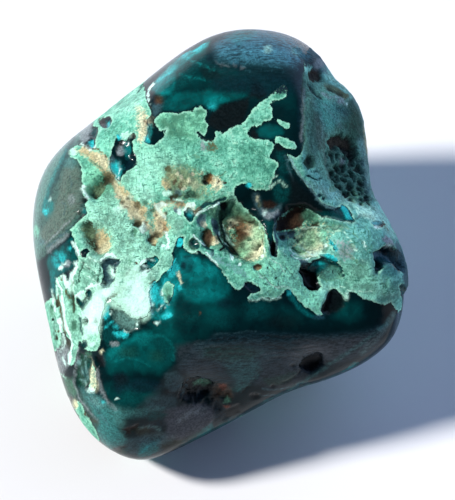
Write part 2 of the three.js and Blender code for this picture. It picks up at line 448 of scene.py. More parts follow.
# hollows that are not tied to one colour, in mm
pitMarks = [
    ("area", .65, 7, (217,216, 224,207, 234,204, 245,208, 254,216, 260,228, 263,242, 260,254,
        252,260, 240,256, 228,248, 219,234)),
    ("area", .5, 7, (275,230, 280,216, 288,210, 304,208, 320,216, 334,226, 338,240, 332,254,
        318,260, 298,256, 282,246)),
    ("area", .45, 6, (80,232, 86,224, 96,226, 106,232, 111,242, 108,252, 98,256, 88,248)),
    ("area", .3, 6, (204,214, 214,208, 222,212, 220,226, 222,240, 214,250, 204,248, 198,238,
        198,224)),
    ("area", .25, 6, (150,206, 162,204, 172,214, 172,232, 164,244, 152,246, 146,236, 148,218)),
    ("area", .25, 5, (98,174, 108,174, 118,182, 116,190, 104,194, 96,200, 88,194, 92,184)),
]

pigments = {
    "black": (0.004, 0.007, 0.008),
    "blueBlack": (0.003, 0.016, 0.024),
    "umber": (0.020, 0.010, 0.006),
    # darkOlive is mostly painted shade, darkening pits and bowls; its thin strokes are the crust's
    # own dark grain
    "darkOlive": (0.022, 0.027, 0.013),
    "olive": (0.075, 0.090, 0.042),
    "brown": (0.065, 0.038, 0.020),
    "orangeBrown": (0.190, 0.095, 0.030),
    "rust": (0.140, 0.042, 0.024),
    "ochre": (0.480, 0.420, 0.230),
    "orange": (0.420, 0.210, 0.085),
    "cream": (0.600, 0.620, 0.410),
    # white is the crust's own pale colour, and in small dabs and thin lines also painted glints
    "white": (0.600, 0.900, 0.800),
    "paleMint": (0.420, 0.760, 0.600),
    "mint": (0.160, 0.500, 0.350),
    "green": (0.080, 0.240, 0.150),
    "greenDark": (0.010, 0.055, 0.035),
    "slate": (0.050, 0.115, 0.130),
    "slateLight": (0.150, 0.330, 0.310),
    "blueSlate": (0.090, 0.170, 0.240),
    "seaGrey": (0.080, 0.360, 0.290),
    "dimSea": (0.055, 0.210, 0.200),
    "stoneGrey": (0.170, 0.200, 0.160),
    "greyLilac": (0.060, 0.070, 0.085),
    "wallGreen": (0.115, 0.330, 0.250),
    "wallBrown": (0.075, 0.120, 0.095),
    "freshMint": (0.240, 0.740, 0.500),
    "moss": (0.170, 0.300, 0.170),
    "limbGrey": (0.100, 0.230, 0.200),
    "leafMint": (0.150, 0.460, 0.260),
    "blueMint": (0.130, 0.410, 0.370),
    "lilac": (0.220, 0.270, 0.280),
    "blue": (0.034, 0.130, 0.175),
    "blueLight": (0.110, 0.420, 0.520),
    "tealDark": (0.002, 0.045, 0.045),
    "teal": (0.004, 0.170, 0.165),
    # cyan is painted light: bright flashes where light comes back out of the glass
    "cyan": (0.020, 0.480, 0.500),
}

# broad tones of the crust: (kind, colour, strength, softness, place)
toneMarks = [
    ("area", "paleMint", .45, 6, (120,86, 140,78, 146,96, 142,110, 124,112, 106,118)),
    ("area", "paleMint", .4, 12, (84,200, 120,186, 150,196, 176,232, 170,270, 150,290, 120,280,
        90,262, 80,230)),
    ("area", "paleMint", .2, 10, (96,150, 108,170, 150,150, 170,140, 190,170, 150,190, 120,186)),
    ("area", "leafMint", .5, 5, (154,106, 208,104, 212,132, 196,142, 168,138, 154,128)),
    ("area", "blueMint", .75, 8, (296,150, 318,210, 322,224, 300,262, 300,300, 440,330, 440,60,
        300,50)),
    ("area", "paleMint", .3, 8, (262,262, 300,262, 318,290, 320,314, 300,304, 262,298)),
    ("area", "paleMint", .3, 6, (340,262, 372,262, 396,296, 372,300, 350,290)),
    (8, "paleMint", .35, 4, (310,185, 335,197, 355,204, 374,210, 384,220, 392,236)),
    ("area", "paleMint", .6, 3, (127,187, 138,184, 152,188, 156,196, 150,202, 138,200, 130,196)),
    ("area", "paleMint", .5, 3, (165,204, 176,203, 184,210, 184,224, 178,234, 170,236, 167,226)),
    ("area", "moss", .7, 5, (163,168, 176,164, 190,168, 202,172, 204,184, 196,196, 184,200,
        172,198, 164,188, 160,178)),
    ("area", "moss", .55, 6, (205,200, 228,196, 250,206, 264,226, 268,244, 262,262, 244,262,
        228,254, 214,246, 206,236, 212,220)),
    ("area", "moss", .4, 5, (84,222, 100,222, 112,232, 112,252, 100,258, 88,252)),
    ("area", "moss", .35, 5, (112,186, 130,190, 146,206, 160,210, 168,232, 152,246, 140,236,
        124,214)),
    ("area", "moss", .45, 5, (302,214, 322,218, 330,230, 328,256, 306,262, 292,250)),
    ("area", "paleMint", .42, 5, (48,286, 60,272, 80,256, 104,254, 150,248, 162,262, 152,300,
        140,322, 110,332, 100,346, 90,354, 72,368, 56,352, 48,310)),
    ("area", "paleMint", .35, 8, (120,150, 150,150, 180,160, 172,176, 140,190, 116,180)),
    ("area", "blueMint", .5, 8, (340,226, 360,226, 376,244, 370,262, 350,262, 338,246)),
    ("area", "leafMint", .5, 8, (96,150, 108,172, 120,200, 110,216, 92,206, 84,180)),
    (6, "paleMint", .35, 5, (300,268, 310,290, 330,288, 356,294)),
    ("area", "freshMint", .8, 7, (256,262, 286,258, 304,266, 318,292, 320,314, 300,304, 276,300,
        252,292, 236,276)),
    ("area", "freshMint", .3, 8, (70,140, 150,140, 190,150, 200,200, 160,260, 100,256, 84,220)),
    ("area", "freshMint", .35, 6, (330,262, 372,262, 396,290, 372,302, 344,296)),
    ("area", "paleMint", .25, 8, (84,196, 110,190, 140,216, 146,250, 110,258, 84,222)),
]

window = insideOutlines(windowOutlines)
crust = np.minimum(insideOutlines(crustOutlines), -window)
crust /= showSide["stepsPerMm"]      # mm inside the crust
grit = paintLayer(gritMarks)
inkX += grain("edgeBrokenX") * grit * showSide["edgeBroken"]
inkY += grain("edgeBrokenY") * grit * showSide["edgeBroken"]
insideLight = paintLayer(insideLightMarks, showSide["dimInsideLight"])
veil = paintLayer(veilMarks)
scuffAndReflection = paintLayer(scuffAndReflectionMarks)

tone = np.zeros((count, 4))         # broad tones, on the crust only
pigment = np.zeros((count, 4))      # colour that covers crust and dioptase alike
sink = np.zeros(count)              # mm


# puts a pigment on a layer of colours: the last number is how much the layer hides
def putOn(layer, colour, amount, reached=slice(None)):
    amount = amount[:, None]
    layer[reached, :3] = layer[reached, :3] * (1 - amount) + np.array(pigments[colour]) * amount
    layer[reached, 3:] = 1 - (1 - layer[reached, 3:]) * (1 - amount)


for kind, colour, strength, soft, place in toneMarks:
    reached, amount = markCover(kind, strength, soft, place)
    putOn(tone, colour, amount * strength, reached)
for kind, depth, soft, place in pitMarks:
    reached, amount = markCover(kind, depth, soft, place)
    sink[reached] += depth * amount * (1 - farSide[reached])


# A pigment mark is given by its colour, strength, softness, depth in mm and place. The
# place of an area is its outline, of a line its bends after its width, and of a dab its
# middle, half width, half height and turn. Most small white and cyan dabs, and many thin
# white and cyan lines, are painted glints.
def markPigment(kind, colour, strength, soft, depth, *place):
    reached, amount = markCover(kind, strength, soft, place)
    putOn(pigment, colour, amount * strength, reached)
    sink[reached] += depth * amount * (1 - farSide[reached])


def area(*details):
    markPigment("area", *details)


def dab(*details):
    markPigment("dab", *details)


def line(width, *details):
    markPigment(width, *details)


# top facets; the blue, light blue and teal marks over the top's far edge are painted reflection of
# the bright room behind, and the white arc is a painted glint
line(2.5, "tealDark", .6, 1.5, 0, 138,92, 146,82, 154,74, 164,66, 176,59, 188,52, 200,45, 212,38)
line(2, "white", 1, .6, 0, 154,83, 151,87, 149,91, 148,96, 148,101, 149,104)
area("cyan", .25, 3, 0, 158,80, 166,70, 176,61, 180,66, 174,76, 168,84)
line(2.5, "cyan", .6, 1.2, 0, 178,60, 185,55, 190,52)
line(3, "tealDark", .5, 1, 0, 180,68, 188,64, 194,62, 200,63)
area("black", .6, 2, 0, 197,64, 206,66, 216,70, 224,76, 216,80, 206,79, 200,72)
dab("brown", .95, 2.2, .08, 159,100, 5,4, 10)
dab("black", .6, 1, 0, 163,99, 2.5,2.5)
area("slate", .6, 2, 0, 152,105, 158,104, 164,105, 160,112, 154,117, 152,112)
area("black", .9, 2, 0, 208,119, 214,111, 220,106, 232,102, 244,99, 250,97, 249,105, 247,112,
    244,120, 238,124, 230,128, 222,131, 214,129, 209,125)
area("black", .9, 2, 0, 250,84, 256,80, 262,85, 267,92, 266,98, 258,99, 250,97)
area("blue", .65, 3, 0, 216,44, 226,36, 240,30, 262,27, 282,30, 296,38, 306,50, 304,60, 290,64,
    278,63, 262,62, 248,62, 236,64, 222,58)
area("teal", .5, 3, 0, 226,38, 236,31, 250,28, 258,32, 250,40, 236,44)
line(1.2, "blueBlack", .7, .6, 0, 225,44, 236,43)
line(1.2, "blueBlack", .7, .6, 0, 227,56, 232,55, 237,57)
line(1.2, "blueBlack", .7, .6, 0, 250,40, 255,43, 259,47)
line(1.2, "blueBlack", .6, .6, 0, 262,57, 272,56, 282,58, 292,61)
line(1.2, "blueBlack", .6, .6, 0, 268,62, 286,60)
line(1.2, "blueBlack", .6, .6, 0, 240,62, 262,63, 282,67)
line(1.2, "blueBlack", .6, .6, 0, 276,38, 286,44, 292,51)
line(4, "blueBlack", .85, 1, .05, 238,46, 240,52, 238,58, 241,64, 240,70)
dab("paleMint", .6, 2, 0, 268,49, 4,4)
line(1.6, "black", .6, .6, 0, 262,47, 266,43, 272,42)
dab("slateLight", .6, 2, 0, 297,51, 6,5, 30)
dab("black", .85, .8, 0, 297,67, 4,1.6)
line(2.5, "cyan", .9, 1, 0, 194,51, 199,48, 205,44)
area("tealDark", .7, 3, 0, 176,62, 190,56, 204,52, 206,62, 196,70, 190,84, 178,90, 176,76)
line(1.4, "blueBlack", .6, .7, 0, 226,50, 240,50, 252,53, 262,52)
line(1.4, "blueBlack", .6, .7, 0, 262,36, 268,44, 280,46, 290,44)
line(1.4, "blueBlack", .6, .7, 0, 272,52, 286,54, 298,57)
line(1.4, "lilac", .35, .8, 0, 214,62, 230,66, 246,68)
area("blueBlack", .6, 4, 0, 210,80, 240,74, 270,74, 300,78, 300,92, 270,96, 240,94, 214,92)
area("tealDark", .5, 4, 0, 160,98, 168,96, 176,108, 162,111)
dab("cyan", .5, 2, 0, 212,106, 4,3)
area("blueBlack", .6, 3, 0, 294,36, 306,42, 316,52, 324,62, 314,68, 304,66, 298,52)
line(1.2, "blueBlack", .5, .8, 0, 228,46, 246,48, 262,46, 282,50)
line(1.2, "blueBlack", .45, .8, 0, 236,56, 256,58, 276,57, 298,60)
line(1.2, "blueLight", .5, .8, 0, 230,50, 250,52, 270,50, 290,54)
area("tealDark", .5, 2, 0, 160,84, 168,74, 176,72, 174,82, 166,92)
line(1.6, "tealDark", .6, 1.2, 0, 170,66, 178,60, 188,56)
line(2, "cyan", .6, 1, 0, 158,82, 164,76, 172,72)
line(1.6, "teal", .7, 1, 0, 190,60, 204,66, 214,70)
line(1.6, "teal", .5, 1, 0, 180,74, 192,78, 206,80)
dab("tealDark", .6, 2.4, 0, 172,88, 4,6)
dab("cyan", .5, 1.4, 0, 186,57, 4,2, -20)
area("blueLight", .16, 6, 0, 214,46, 230,38, 260,32, 300,38, 316,54, 298,66, 250,64, 218,60)
# dark wedge between the lobes
area("black", .9, 1, 0, 249,133, 252,129, 256,131, 259,136, 257,139, 251,137)
area("black", .9, 1, 0, 275,143, 280,146, 286,149, 282,151, 276,151)
area("tealDark", .7, 2, 0, 276,152, 284,151, 290,160, 292,172, 284,174, 277,170, 280,166, 277,160)
line(2, "slate", .5, 1, 0, 286,155, 287,163, 290,172, 293,180)
area("tealDark", .8, 3, 0, 272,178, 280,175, 288,182, 291,190, 288,200, 280,203, 273,195)
area("black", .75, 4, 0, 290,176, 300,182, 312,196, 318,206, 330,214, 318,213, 305,209, 294,209,
    288,205, 290,190)
line(2.5, "slateLight", .7, .8, 0, 290,156, 294,166, 299,174, 304,180, 310,187, 315,195, 320,202,
    326,206, 334,208)
line(2, "paleMint", .8, .8, 0, 270,187, 276,183, 280,181)
line(1.6, "paleMint", .7, .7, 0, 281,183, 286,187)
line(1.6, "paleMint", .7, .7, 0, 273,178, 277,176)
dab("paleMint", .8, .8, 0, 271,187, 2,2)
dab("cyan", .7, 1, 0, 249,185, 3,3)
# glassy drop
area("slate", .55, 2, 0, 252,193, 258,192, 261,200, 262,206, 268,209, 276,206, 281,203, 282,210,
    277,216, 270,220, 264,219, 259,213, 255,206, 252,199)
area("umber", .8, 2, 0, 263,201, 270,200, 277,203, 274,208, 266,210, 262,206)
area("lilac", .75, 1.5, 0, 262,208, 266,212, 272,213, 278,209, 280,212, 275,217, 269,219, 264,217)
dab("white", .5, 1, 0, 265,213, 2,3.5, -20)
dab("cream", .8, .8, 0, 257,199, 1.4,3, -10)
dab("olive", .6, 1, 0, 259.5,204, 1.5,3.5)
# brown hollow and the bowls right of it
area("umber", .85, 4, .12, 276,228, 277,222, 281,216, 287,212, 295,209, 303,208, 306,213, 305,219,
    303,225, 297,228, 288,228, 281,229)
line(3, "slate", .7, 1.2, 0, 275,223, 275,232, 277,240, 277,248)
area("tealDark", .85, 1.5, .1, 262,222, 268,219, 274,222, 272,232, 271,240, 268,237, 265,229)
area("black", .95, 1, .35, 272,241, 276,243, 277,250, 275,256, 272,255, 270,248)
area("green", .6, 2, 0, 305,212, 313,213, 320,217, 320,222, 311,221, 306,219)
area("darkOlive", .9, 1.76, .15, 312,223, 316,221, 320,222, 319,225, 315,227, 312,226)
area("slate", .6, 2, .06, 278,231, 290,230, 300,231, 300,237, 290,241, 281,239)
dab("black", .85, .8, .08, 286,237, 4,2)
area("cream", .45, 3, 0, 304,226, 316,228, 322,234, 322,246, 318,256, 308,258, 300,254, 304,246,
    302,238)
line(1.8, "black", .9, .6, .1, 299,238, 303,241, 307,238)
line(1.6, "black", .9, .6, .1, 297,247, 302,250, 307,249, 310,247)
line(1.5, "black", .8, .6, .08, 309,243, 311,240, 314,241)
dab("olive", .9, .6, .06, 314,233, 1.2,2.2)
line(1.5, "darkOlive", .7, .6, .05, 305,232, 310,230)
line(1.6, "white", .8, .6, 0, 293,255, 299,259, 306,260, 313,257, 317,252)
line(1.4, "white", .7, .6, 0, 303,244, 309,248, 311,253)
line(1.5, "paleMint", .8, .6, 0, 292,248, 296,253, 300,256)
line(3, "cyan", .85, .8, 0, 331,241, 334,245, 337,250)
area("cyan", .8, 1, 0, 321,255, 325,253, 330,254, 335,256, 339,262, 332,261, 327,258)
dab("white", .6, .8, 0, 325,244, 3,2, 40)
area("lilac", .4, 3, 0, 335,238, 346,240, 356,248, 352,260, 342,262, 337,252)
area("tealDark", .9, 1, .1, 309,271, 311,265, 317,261, 326,260, 334,263, 341,266, 344,275, 342,279,
    339,272, 332,267, 326,273, 316,275)
dab("teal", .9, 1.4, 0, 320,267, 7,4, -12)
area("black", .95, 1, .4, 300,268, 305,272, 311,273, 316,275, 321,285, 318,289, 308,289, 304,284,
    304,277, 300,273)
area("green", .6, 2, .12, 326,269, 332,266, 338,269, 341,277, 334,281, 325,281, 319,277)
area("slate", .7, 1.2, 0, 299,258, 304,259, 309,262, 306,267, 301,265)
dab("black", .8, .7, .06, 303,266, 2.5,1.5)
dab("black", .6, 4, 0, 283,221, 6,6)
dab("brown", .5, 3, 0, 297,219, 6,4)
dab("greenDark", .6, 3, 0, 308,217, 4,3)
line(1.4, "paleMint", .6, .8, 0, 322,218, 332,217, 342,219, 350,222)
line(1.4, "paleMint", .5, .8, 0, 320,224, 330,227, 340,226, 348,229)
line(1.4, "green", .6, .9, .04, 312,230, 322,230, 332,232)
line(1.2, "paleMint", .6, .8, 0, 308,228, 318,227, 328,230, 334,234)
dab("leafMint", .55, 4, 0, 310,238, 7,8)
dab("paleMint", .5, 3, 0, 318,252, 7,4)
dab("leafMint", .5, 3, 0, 303,250, 5,6)
dab("freshMint", .5, 3, 0, 322,236, 5,5)
dab("dimSea", .6, 3, 0, 330,274, 8,6)
dab("teal", .9, 1.6, 0, 320,266, 7,3, -8)
dab("cyan", .5, 1.2, 0, 321,265, 4,1.6, -8)
dab("darkOlive", .5, 1.6, .06, 296,232, 3,2)
dab("darkOlive", .5, 1.6, .06, 318,238, 2.4,2)
line(1.4, "white", .6, .8, 0, 292,250, 304,255, 316,252)
# lower left of the right crust
area("cream", .35, 3, 0, 246,222, 258,222, 265,240, 266,256, 256,262, 246,258)
dab("darkOlive", .85, 1.375, .12, 255,243, 2.5,3)
line(1.5, "darkOlive", .8, .6, .05, 260,234, 260,242)
dab("white", .8, .7, 0, 257,225, 1.8,3)
dab("white", .7, .8, 0, 262,256, 2,2)
line(1.8, "white", .6, .7, 0, 264,246, 265,252)
area("darkOlive", .9, 1.76, .15, 253,266, 257,264, 262,265, 260,268, 255,270)
dab("ochre", .8, .9, 0, 258,268, 3,1.8)
area("blueBlack", .95, 1, .12, 243,284, 248,282, 255,285, 261,290, 256,293, 249,290)
line(2, "paleMint", .75, .8, 0, 249,300, 256,301, 262,298, 270,300, 280,297)
area("teal", .6, 2, 0, 285,287, 289,290, 294,296, 298,302, 304,309, 312,314, 316,318, 308,316,
    298,310, 290,299)
dab("cyan", .5, 1, 0, 290,293, 4,2, 45)
area("black", .9, 1.2, .25, 329,292, 333,289, 338,293, 345,298, 346,305, 340,312, 330,314, 322,312,
    324,305, 327,299)
dab("paleMint", .6, 1.2, 0, 347,296, 2.5,4)
line(1.4, "green", .6, .9, .04, 262,250, 268,262, 276,272)
line(1.4, "green", .6, .9, .04, 254,268, 264,276, 272,284, 282,290)
line(1.4, "green", .6, .9, .04, 282,262, 290,272, 296,280)
line(1.4, "paleMint", .7, .9, 0, 258,274, 268,282, 278,288, 288,286)
line(1.4, "paleMint", .6, .9, 0, 270,258, 280,266, 286,274)
dab("greenDark", .7, 1.2, .06, 276,278, 2.4,1.4, 20)
dab("greenDark", .7, 1.2, .06, 268,268, 1.6,1.4)
dab("greenDark", .6, 1.2, .06, 292,256, 2,1.4)
dab("brown", .6, 1.4, .06, 258,267, 4,2.4)
# right pocket and the limb beside it
area("blueBlack", .95, 2, .7, 375,253, 381,251, 385,247, 391,246, 397,250, 402,256, 405,264,
    404,271, 399,269, 395,262, 388,261, 382,262, 380,268, 377,273, 376,262)
area("dimSea", .7, 3, 0, 383,263, 390,261, 396,265, 397,272, 392,276, 384,273)
area("lilac", .7, 1.2, 0, 382,240, 387,235, 391,239, 395,245, 390,246, 386,243)
dab("white", .8, .8, 0, 391,245, 2.5,1)
line(2, "olive", .4, 1.5, 0, 384,225, 389,231, 393,237)
dab("cyan", .7, .8, 0, 377,223, 5,1.6)
dab("white", .8, .7, 0, 377,227, 3,1.4)
area("tealDark", .9, 1, .05, 399,284, 404,285, 407,293, 407,301, 403,302, 401,294)
line(2.5, "tealDark", .5, 1.2, 0, 346,216, 352,222, 360,216, 366,215, 373,219)
area("green", .4, 2, 0, 324,220, 334,222, 344,222, 350,228, 344,232, 334,232, 326,228)
line(1.5, "tealDark", .6, .6, 0, 330,226, 336,229, 341,225)
line(1.5, "paleMint", .7, .7, 0, 331,232, 336,229, 340,231)
area("slate", .7, 3, 0, 396,238, 403,250, 409,264, 412,288, 409,308, 403,306, 404,288, 402,268,
    396,252)
dab("blueBlack", .8, 2, .1, 388,254, 8,4)
line(1.4, "tealDark", .7, .8, .05, 386,286, 392,290, 398,290)
dab("tealDark", .7, 1.2, 0, 403,290, 3,4)
area("paleMint", .35, 4, 0, 356,206, 370,208, 382,216, 378,224, 366,220, 356,214)
line(1.4, "paleMint", .6, .9, 0, 344,232, 350,240, 356,250, 362,262)
line(1.4, "green", .6, .9, .04, 352,232, 360,240, 366,250)
line(1.4, "green", .6, .9, .04, 342,250, 352,258, 364,268)
line(1.4, "green", .5, .9, .04, 350,272, 362,278, 376,282)
line(1.4, "paleMint", .6, .9, 0, 338,286, 350,290, 364,292, 378,290)
line(2, "green", .5, 1.5, .04, 366,226, 370,236, 372,248)
dab("green", .5, 2, .05, 352,246, 2,3, 30)
dab("green", .5, 2, .05, 384,284, 4,2)
line(1.2, "white", .6, .8, 0, 362,238, 366,246, 368,254)
area("blue", .7, 2, 0, 378,254, 386,250, 396,253, 402,262, 398,266, 388,259, 380,262)
dab("dimSea", .5, 3, 0, 390,272, 8,5)
# teal sliver
area("tealDark", .9, 1.2, .08, 331,210, 338,207, 344,211, 347,217, 346,222, 338,219, 328,217,
    320,215, 314,212)
area("cyan", .75, 1, 0, 340,204, 345,206, 349,212, 352,219, 348,219, 345,214, 341,209)
# right wall
area("slate", .5, 3, 0, 312,54, 320,56, 328,66, 330,76, 322,74, 314,68)
dab("lilac", .5, 2, 0, 319,63, 5,5)
area("wallGreen", .75, 5, 0, 303,74, 316,72, 330,84, 344,96, 356,110, 364,140, 366,170, 372,200,
    350,198, 334,186, 320,176, 308,160, 303,140)
area("slate", .5, 4, 0, 352,98, 362,112, 368,140, 372,190, 366,190, 360,150, 354,124, 348,106)
area("seaGrey", .75, 3, 0, 316,98, 328,100, 337,108, 338,122, 332,130, 324,130, 318,122, 314,108)
area("greenDark", .75, 4, 0, 339,104, 352,101, 361,114, 364,140, 353,142, 345,130, 340,118)
area("wallBrown", .7, 3, 0, 314,112, 320,116, 324,130, 324,146, 320,152, 316,140)
line(3, "wallBrown", .6, 1.5, 0, 326,134, 324,150, 326,164, 330,178)
line(5, "blueBlack", .8, 1.5, 0, 301,66, 301,90, 300,118, 301,146)
# painted reflection: the grey-blue line of the sky along the ridge's glossy edge
line(1.6, "lilac", .7, .9, 0, 304,88, 303,104, 303,122, 301,140)
line(2.5, "black", .85, .8, .15, 309,84, 312,90, 317,95, 322,99)
area("umber", .92, 1.2, .25, 308,72, 312,69, 318,68, 321,73, 322,80, 316,82, 310,79)
area("black", .8, 1, .1, 309,71, 314,70, 317,75, 313,78)
line(6, "olive", .65, 2, .05, 327,86, 336,90, 346,96)
line(2.5, "black", .7, 1, .12, 329,88, 336,93, 343,95)
line(2, "lilac", .7, 1, 0, 322,93, 330,97, 338,97)
dab("lilac", .85, 1, 0, 341,101, 4,3, 20)
dab("white", .9, .6, 0, 347,104, 1.4,1.4)
area("tealDark", .85, 1.5, .05, 335,106, 341,107, 348,108, 351,112, 346,116, 340,112, 335,111)
dab("greenDark", .6, 3, 0, 355,122, 5,14)
dab("greenDark", .5, 2.5, 0, 339,128, 6,4)
line(2, "slateLight", .5, 1.2, 0, 312,100, 320,112, 324,126, 322,140)
line(2, "slateLight", .5, 1.2, 0, 322,104, 334,116, 342,128)
line(1.6, "greenDark", .6, 1, 0, 311,104, 313,124, 311,148)
line(1.6, "greenDark", .6, 1, 0, 318,146, 322,158, 328,170, 332,182)
line(4, "limbGrey", .7, 2, 0, 352,92, 359,106, 364,120, 367,140, 368,160, 371,180, 376,200)
line(5, "slateLight", .5, 2.5, 0, 361,140, 364,160, 367,180, 370,196)
area("greenDark", .45, 3, 0, 327,150, 340,148, 356,150, 364,160, 367,180, 372,206, 360,204,
    346,198, 334,184, 328,168)
area("umber", .95, 1.2, .35, 328,142, 332,136, 342,135, 350,137, 355,144, 356,151, 348,150,
    340,148, 333,150, 329,147)
area("black", .9, 1.5, .2, 342,146, 350,148, 357,153, 356,160, 349,158, 343,152)
dab("lilac", .7, 1.4, 0, 343,161, 2.5,4)
area("greenDark", .85, 1.5, .1, 303,163, 306,158, 311,155, 315,162, 314,167, 308,169)
dab("black", .75, 1.5, .1, 309,160, 3,4)
line(1.6, "tealDark", .8, .7, .05, 307,176, 312,178, 318,180, 321,178)
line(1.4, "tealDark", .8, .6, .05, 314,172, 320,172)
line(1.4, "tealDark", .7, .6, .05, 308,170, 312,172)
dab("tealDark", .8, .7, .05, 320,195, 2,2)
dab("tealDark", .8, .7, .05, 324,198, 1.6,1.6)
dab("green", .8, 1, .05, 333,189, 3.2,3)
area("paleMint", .18, 2.5, 0, 330,186, 336,188, 345,195, 352,200, 362,204, 372,207, 380,212,
    384,222, 372,222, 360,215, 350,207, 340,203, 332,198)
area("blueBlack", .35, 5, 0, 302,72, 312,84, 322,104, 322,140, 316,160, 306,150, 302,120)
dab("dimSea", .4, 5, 0, 338,112, 10,12)
# centre bowl; the dark olive, black and green-black on its upper left are painted shade of its
# steep left wall
area("green", .5, 2, .05, 227,200, 236,203, 245,208, 252,216, 258,222, 262,230, 258,228, 250,220,
    242,214, 234,210, 228,209)
area("darkOlive", .5, 5, .15, 219,214, 226,211, 234,213, 240,217, 238,224, 234,230, 238,236,
    240,244, 236,250, 229,244, 224,236, 222,228, 218,222)
area("black", .5, 3, .08, 221,205, 225,202, 228,203, 226,207, 224,212, 221,211)
dab("cream", .6, 2.5, 0, 236,217, 4,2.5)
line(3, "cream", .85, .8, 0, 232,227, 236,222, 240,219)
area("orange", .5, 4, 0, 241,224, 246,223, 249,225, 247,230, 244,233, 242,240, 240,244, 239,238,
    240,230)
area("cream", .38, 6, 0, 248,226, 258,232, 262,240, 260,250, 255,256, 248,254, 243,250, 242,240,
    246,233)
dab("darkOlive", .9, .7, .12, 247,236, 2.5,2, -40)
dab("darkOlive", .9, 1.375, .12, 254,243, 3,2.5)
dab("brown", .9, .7, .1, 250,251, 2,2.5)
line(2, "black", .8, .6, .06, 259,240, 261,233)
line(1.5, "black", .8, .5, .04, 240,218, 248,219, 252,217)
line(1.2, "paleMint", .7, .8, 0, 226,222, 230,232, 236,240)
area("olive", .5, 4, 0, 236,208, 248,212, 256,222, 248,224, 238,218)
line(1.6, "darkOlive", .7, .9, .05, 238,214, 246,217, 253,222)
dab("brown", .7, 1.2, .06, 243,234, 1.6,4, 10)
dab("darkOlive", .7, 1, .05, 257,236, 1.4,1.8)
line(2.5, "greenDark", .7, 1.5, .08, 222,214, 226,226, 232,238, 240,250)
dab("cream", .6, 4, 0, 252,250, 6,6)
dab("cream", .5, 3, 0, 247,228, 4,3)
dab("leafMint", .5, 4, 0, 254,232, 6,8)
dab("leafMint", .5, 4, 0, 244,244, 6,8)
dab("green", .4, 4, 0, 232,214, 8,5)
line(5, "brown", .55, 3, .04, 240,216, 242,226, 241,238, 236,246)
line(3, "umber", .5, 2, .06, 236,222, 240,232, 244,244)
dab("darkOlive", .5, 2, .06, 252,244, 4,3)
dab("darkOlive", .5, 2, .05, 246,254, 3,2.4)
dab("greenDark", .5, 3, .04, 228,212, 8,5)
# second pit
area("darkOlive", .85, 3, .25, 201,230, 206,227, 210,229, 212,236, 213,242, 208,246, 204,243,
    201,237)
dab("brown", .85, 2.5, 0, 208,235, 4,5)
dab("ochre", .6, 2.5, 0, 215,238, 4,4)
dab("cream", .6, 1.4, 0, 216,241, 5,2)
line(3, "tealDark", .9, .8, 0, 203,244, 208,248, 213,250, 212,254)
area("slate", .7, 1.5, 0, 211,216, 217,218, 220,226, 223,232, 220,236, 214,230, 211,224)
area("slate", .5, 2, 0, 199,214, 206,212, 206,218, 205,226, 200,226, 197,220)
dab("cream", .5, 1.65, 0, 203,223, 3,3)
dab("white", .9, .6, 0, 221.5,231, 1.5,1.5)
line(1.2, "white", .9, .5, 0, 225,238, 229,241, 232,242)
line(2.5, "black", .85, .7, .05, 219,234, 223,240, 225,246, 221,250)
area("tealDark", .7, 1.2, 0, 226,240, 232,244, 238,250, 236,253, 230,250, 226,246)
area("slateLight", .4, 2.5, 0, 204,250, 212,252, 222,256, 232,262, 242,268, 250,276, 245,280,
    236,274, 226,268, 216,262, 208,256)
line(1.5, "white", .8, .6, 0, 205,252, 210,257, 214,261, 218,266)
dab("white", .8, .7, 0, 232,257, 2,3)
dab("white", .8, .7, 0, 240,264, 1.5,2)
# glass chip and ring
area("tealDark", .95, .8, .05, 184,213, 187,210, 192,212, 196,214, 192,218, 191,222, 187,220,
    185,216)
area("white", .9, .8, 0, 183,210, 188,203, 194,202, 196,205, 194,209, 188,207, 185,212)
line(1.6, "white", .8, .6, 0, 196,215, 201,211, 207,209, 213,206, 220,203)
line(3, "tealDark", .9, .8, .06, 196,211, 202,207, 207,203, 214,203, 221,200, 226,198)
area("green", .5, 1, 0, 186,240, 191,238, 195,236, 198,240, 200,246, 196,251, 190,249, 186,245)
area("tealDark", .9, .8, .1, 190,241, 195,237, 198,242, 200,246, 197,249, 193,247)
line(1.6, "white", .8, .6, 0, 194,235, 197,238, 200,241, 204,244)
line(2, "paleMint", .8, .8, 0, 187,249, 191,252, 196,252)
area("cyan", 1, .8, 0, 177,240, 180,237, 183,239, 183,244, 180,247, 177,246)
dab("cyan", .55, 1.4, 0, 190,212, 3,4)
# upper left
area("lilac", .7, 1.2, 0, 90,121, 92,126, 90,133, 88,140, 84,143, 80,140, 78,136, 84,128)
line(4, "tealDark", .85, 1.5, 0, 74,138, 70,146, 66,156, 64,164)
dab("paleMint", .8, 1.2, 0, 73,152, 4,4)
line(2, "white", .9, .6, 0, 81,143, 85,147, 90,149)
dab("white", .9, .6, 0, 94.5,147, 1.5,1.5)
dab("ochre", .6, 3, 0, 82,151, 5,3.5)
area("ochre", .6, 4.5, 0, 85,148, 92,150, 98,152, 104,156, 109,160, 109,168, 112,173, 110,178,
    104,177, 101,170, 97,165, 92,162, 86,157, 83,153)
area("cream", .6, 4, 0, 96,154, 104,158, 108,164, 104,170, 99,164)
line(2, "green", .7, .8, 0, 90,160, 94,163, 98,166, 103,170)
line(1.6, "darkOlive", .8, .6, .06, 95,148, 98,150, 102,153, 107,158)
area("tealDark", .9, .8, .1, 92,127, 97,127, 97,133, 95,138, 91,137, 90,132)
area("cyan", .85, .8, .08, 88,141, 93,139, 94,146, 90,148)
area("umber", .6, 1, .1, 98,119, 104,119, 103,125, 99,125)
area("tealDark", .9, .8, .1, 104,120, 111,119, 110,124, 106,127, 103,125)
dab("cyan", .8, .7, 0, 108,123, 1.8,3)
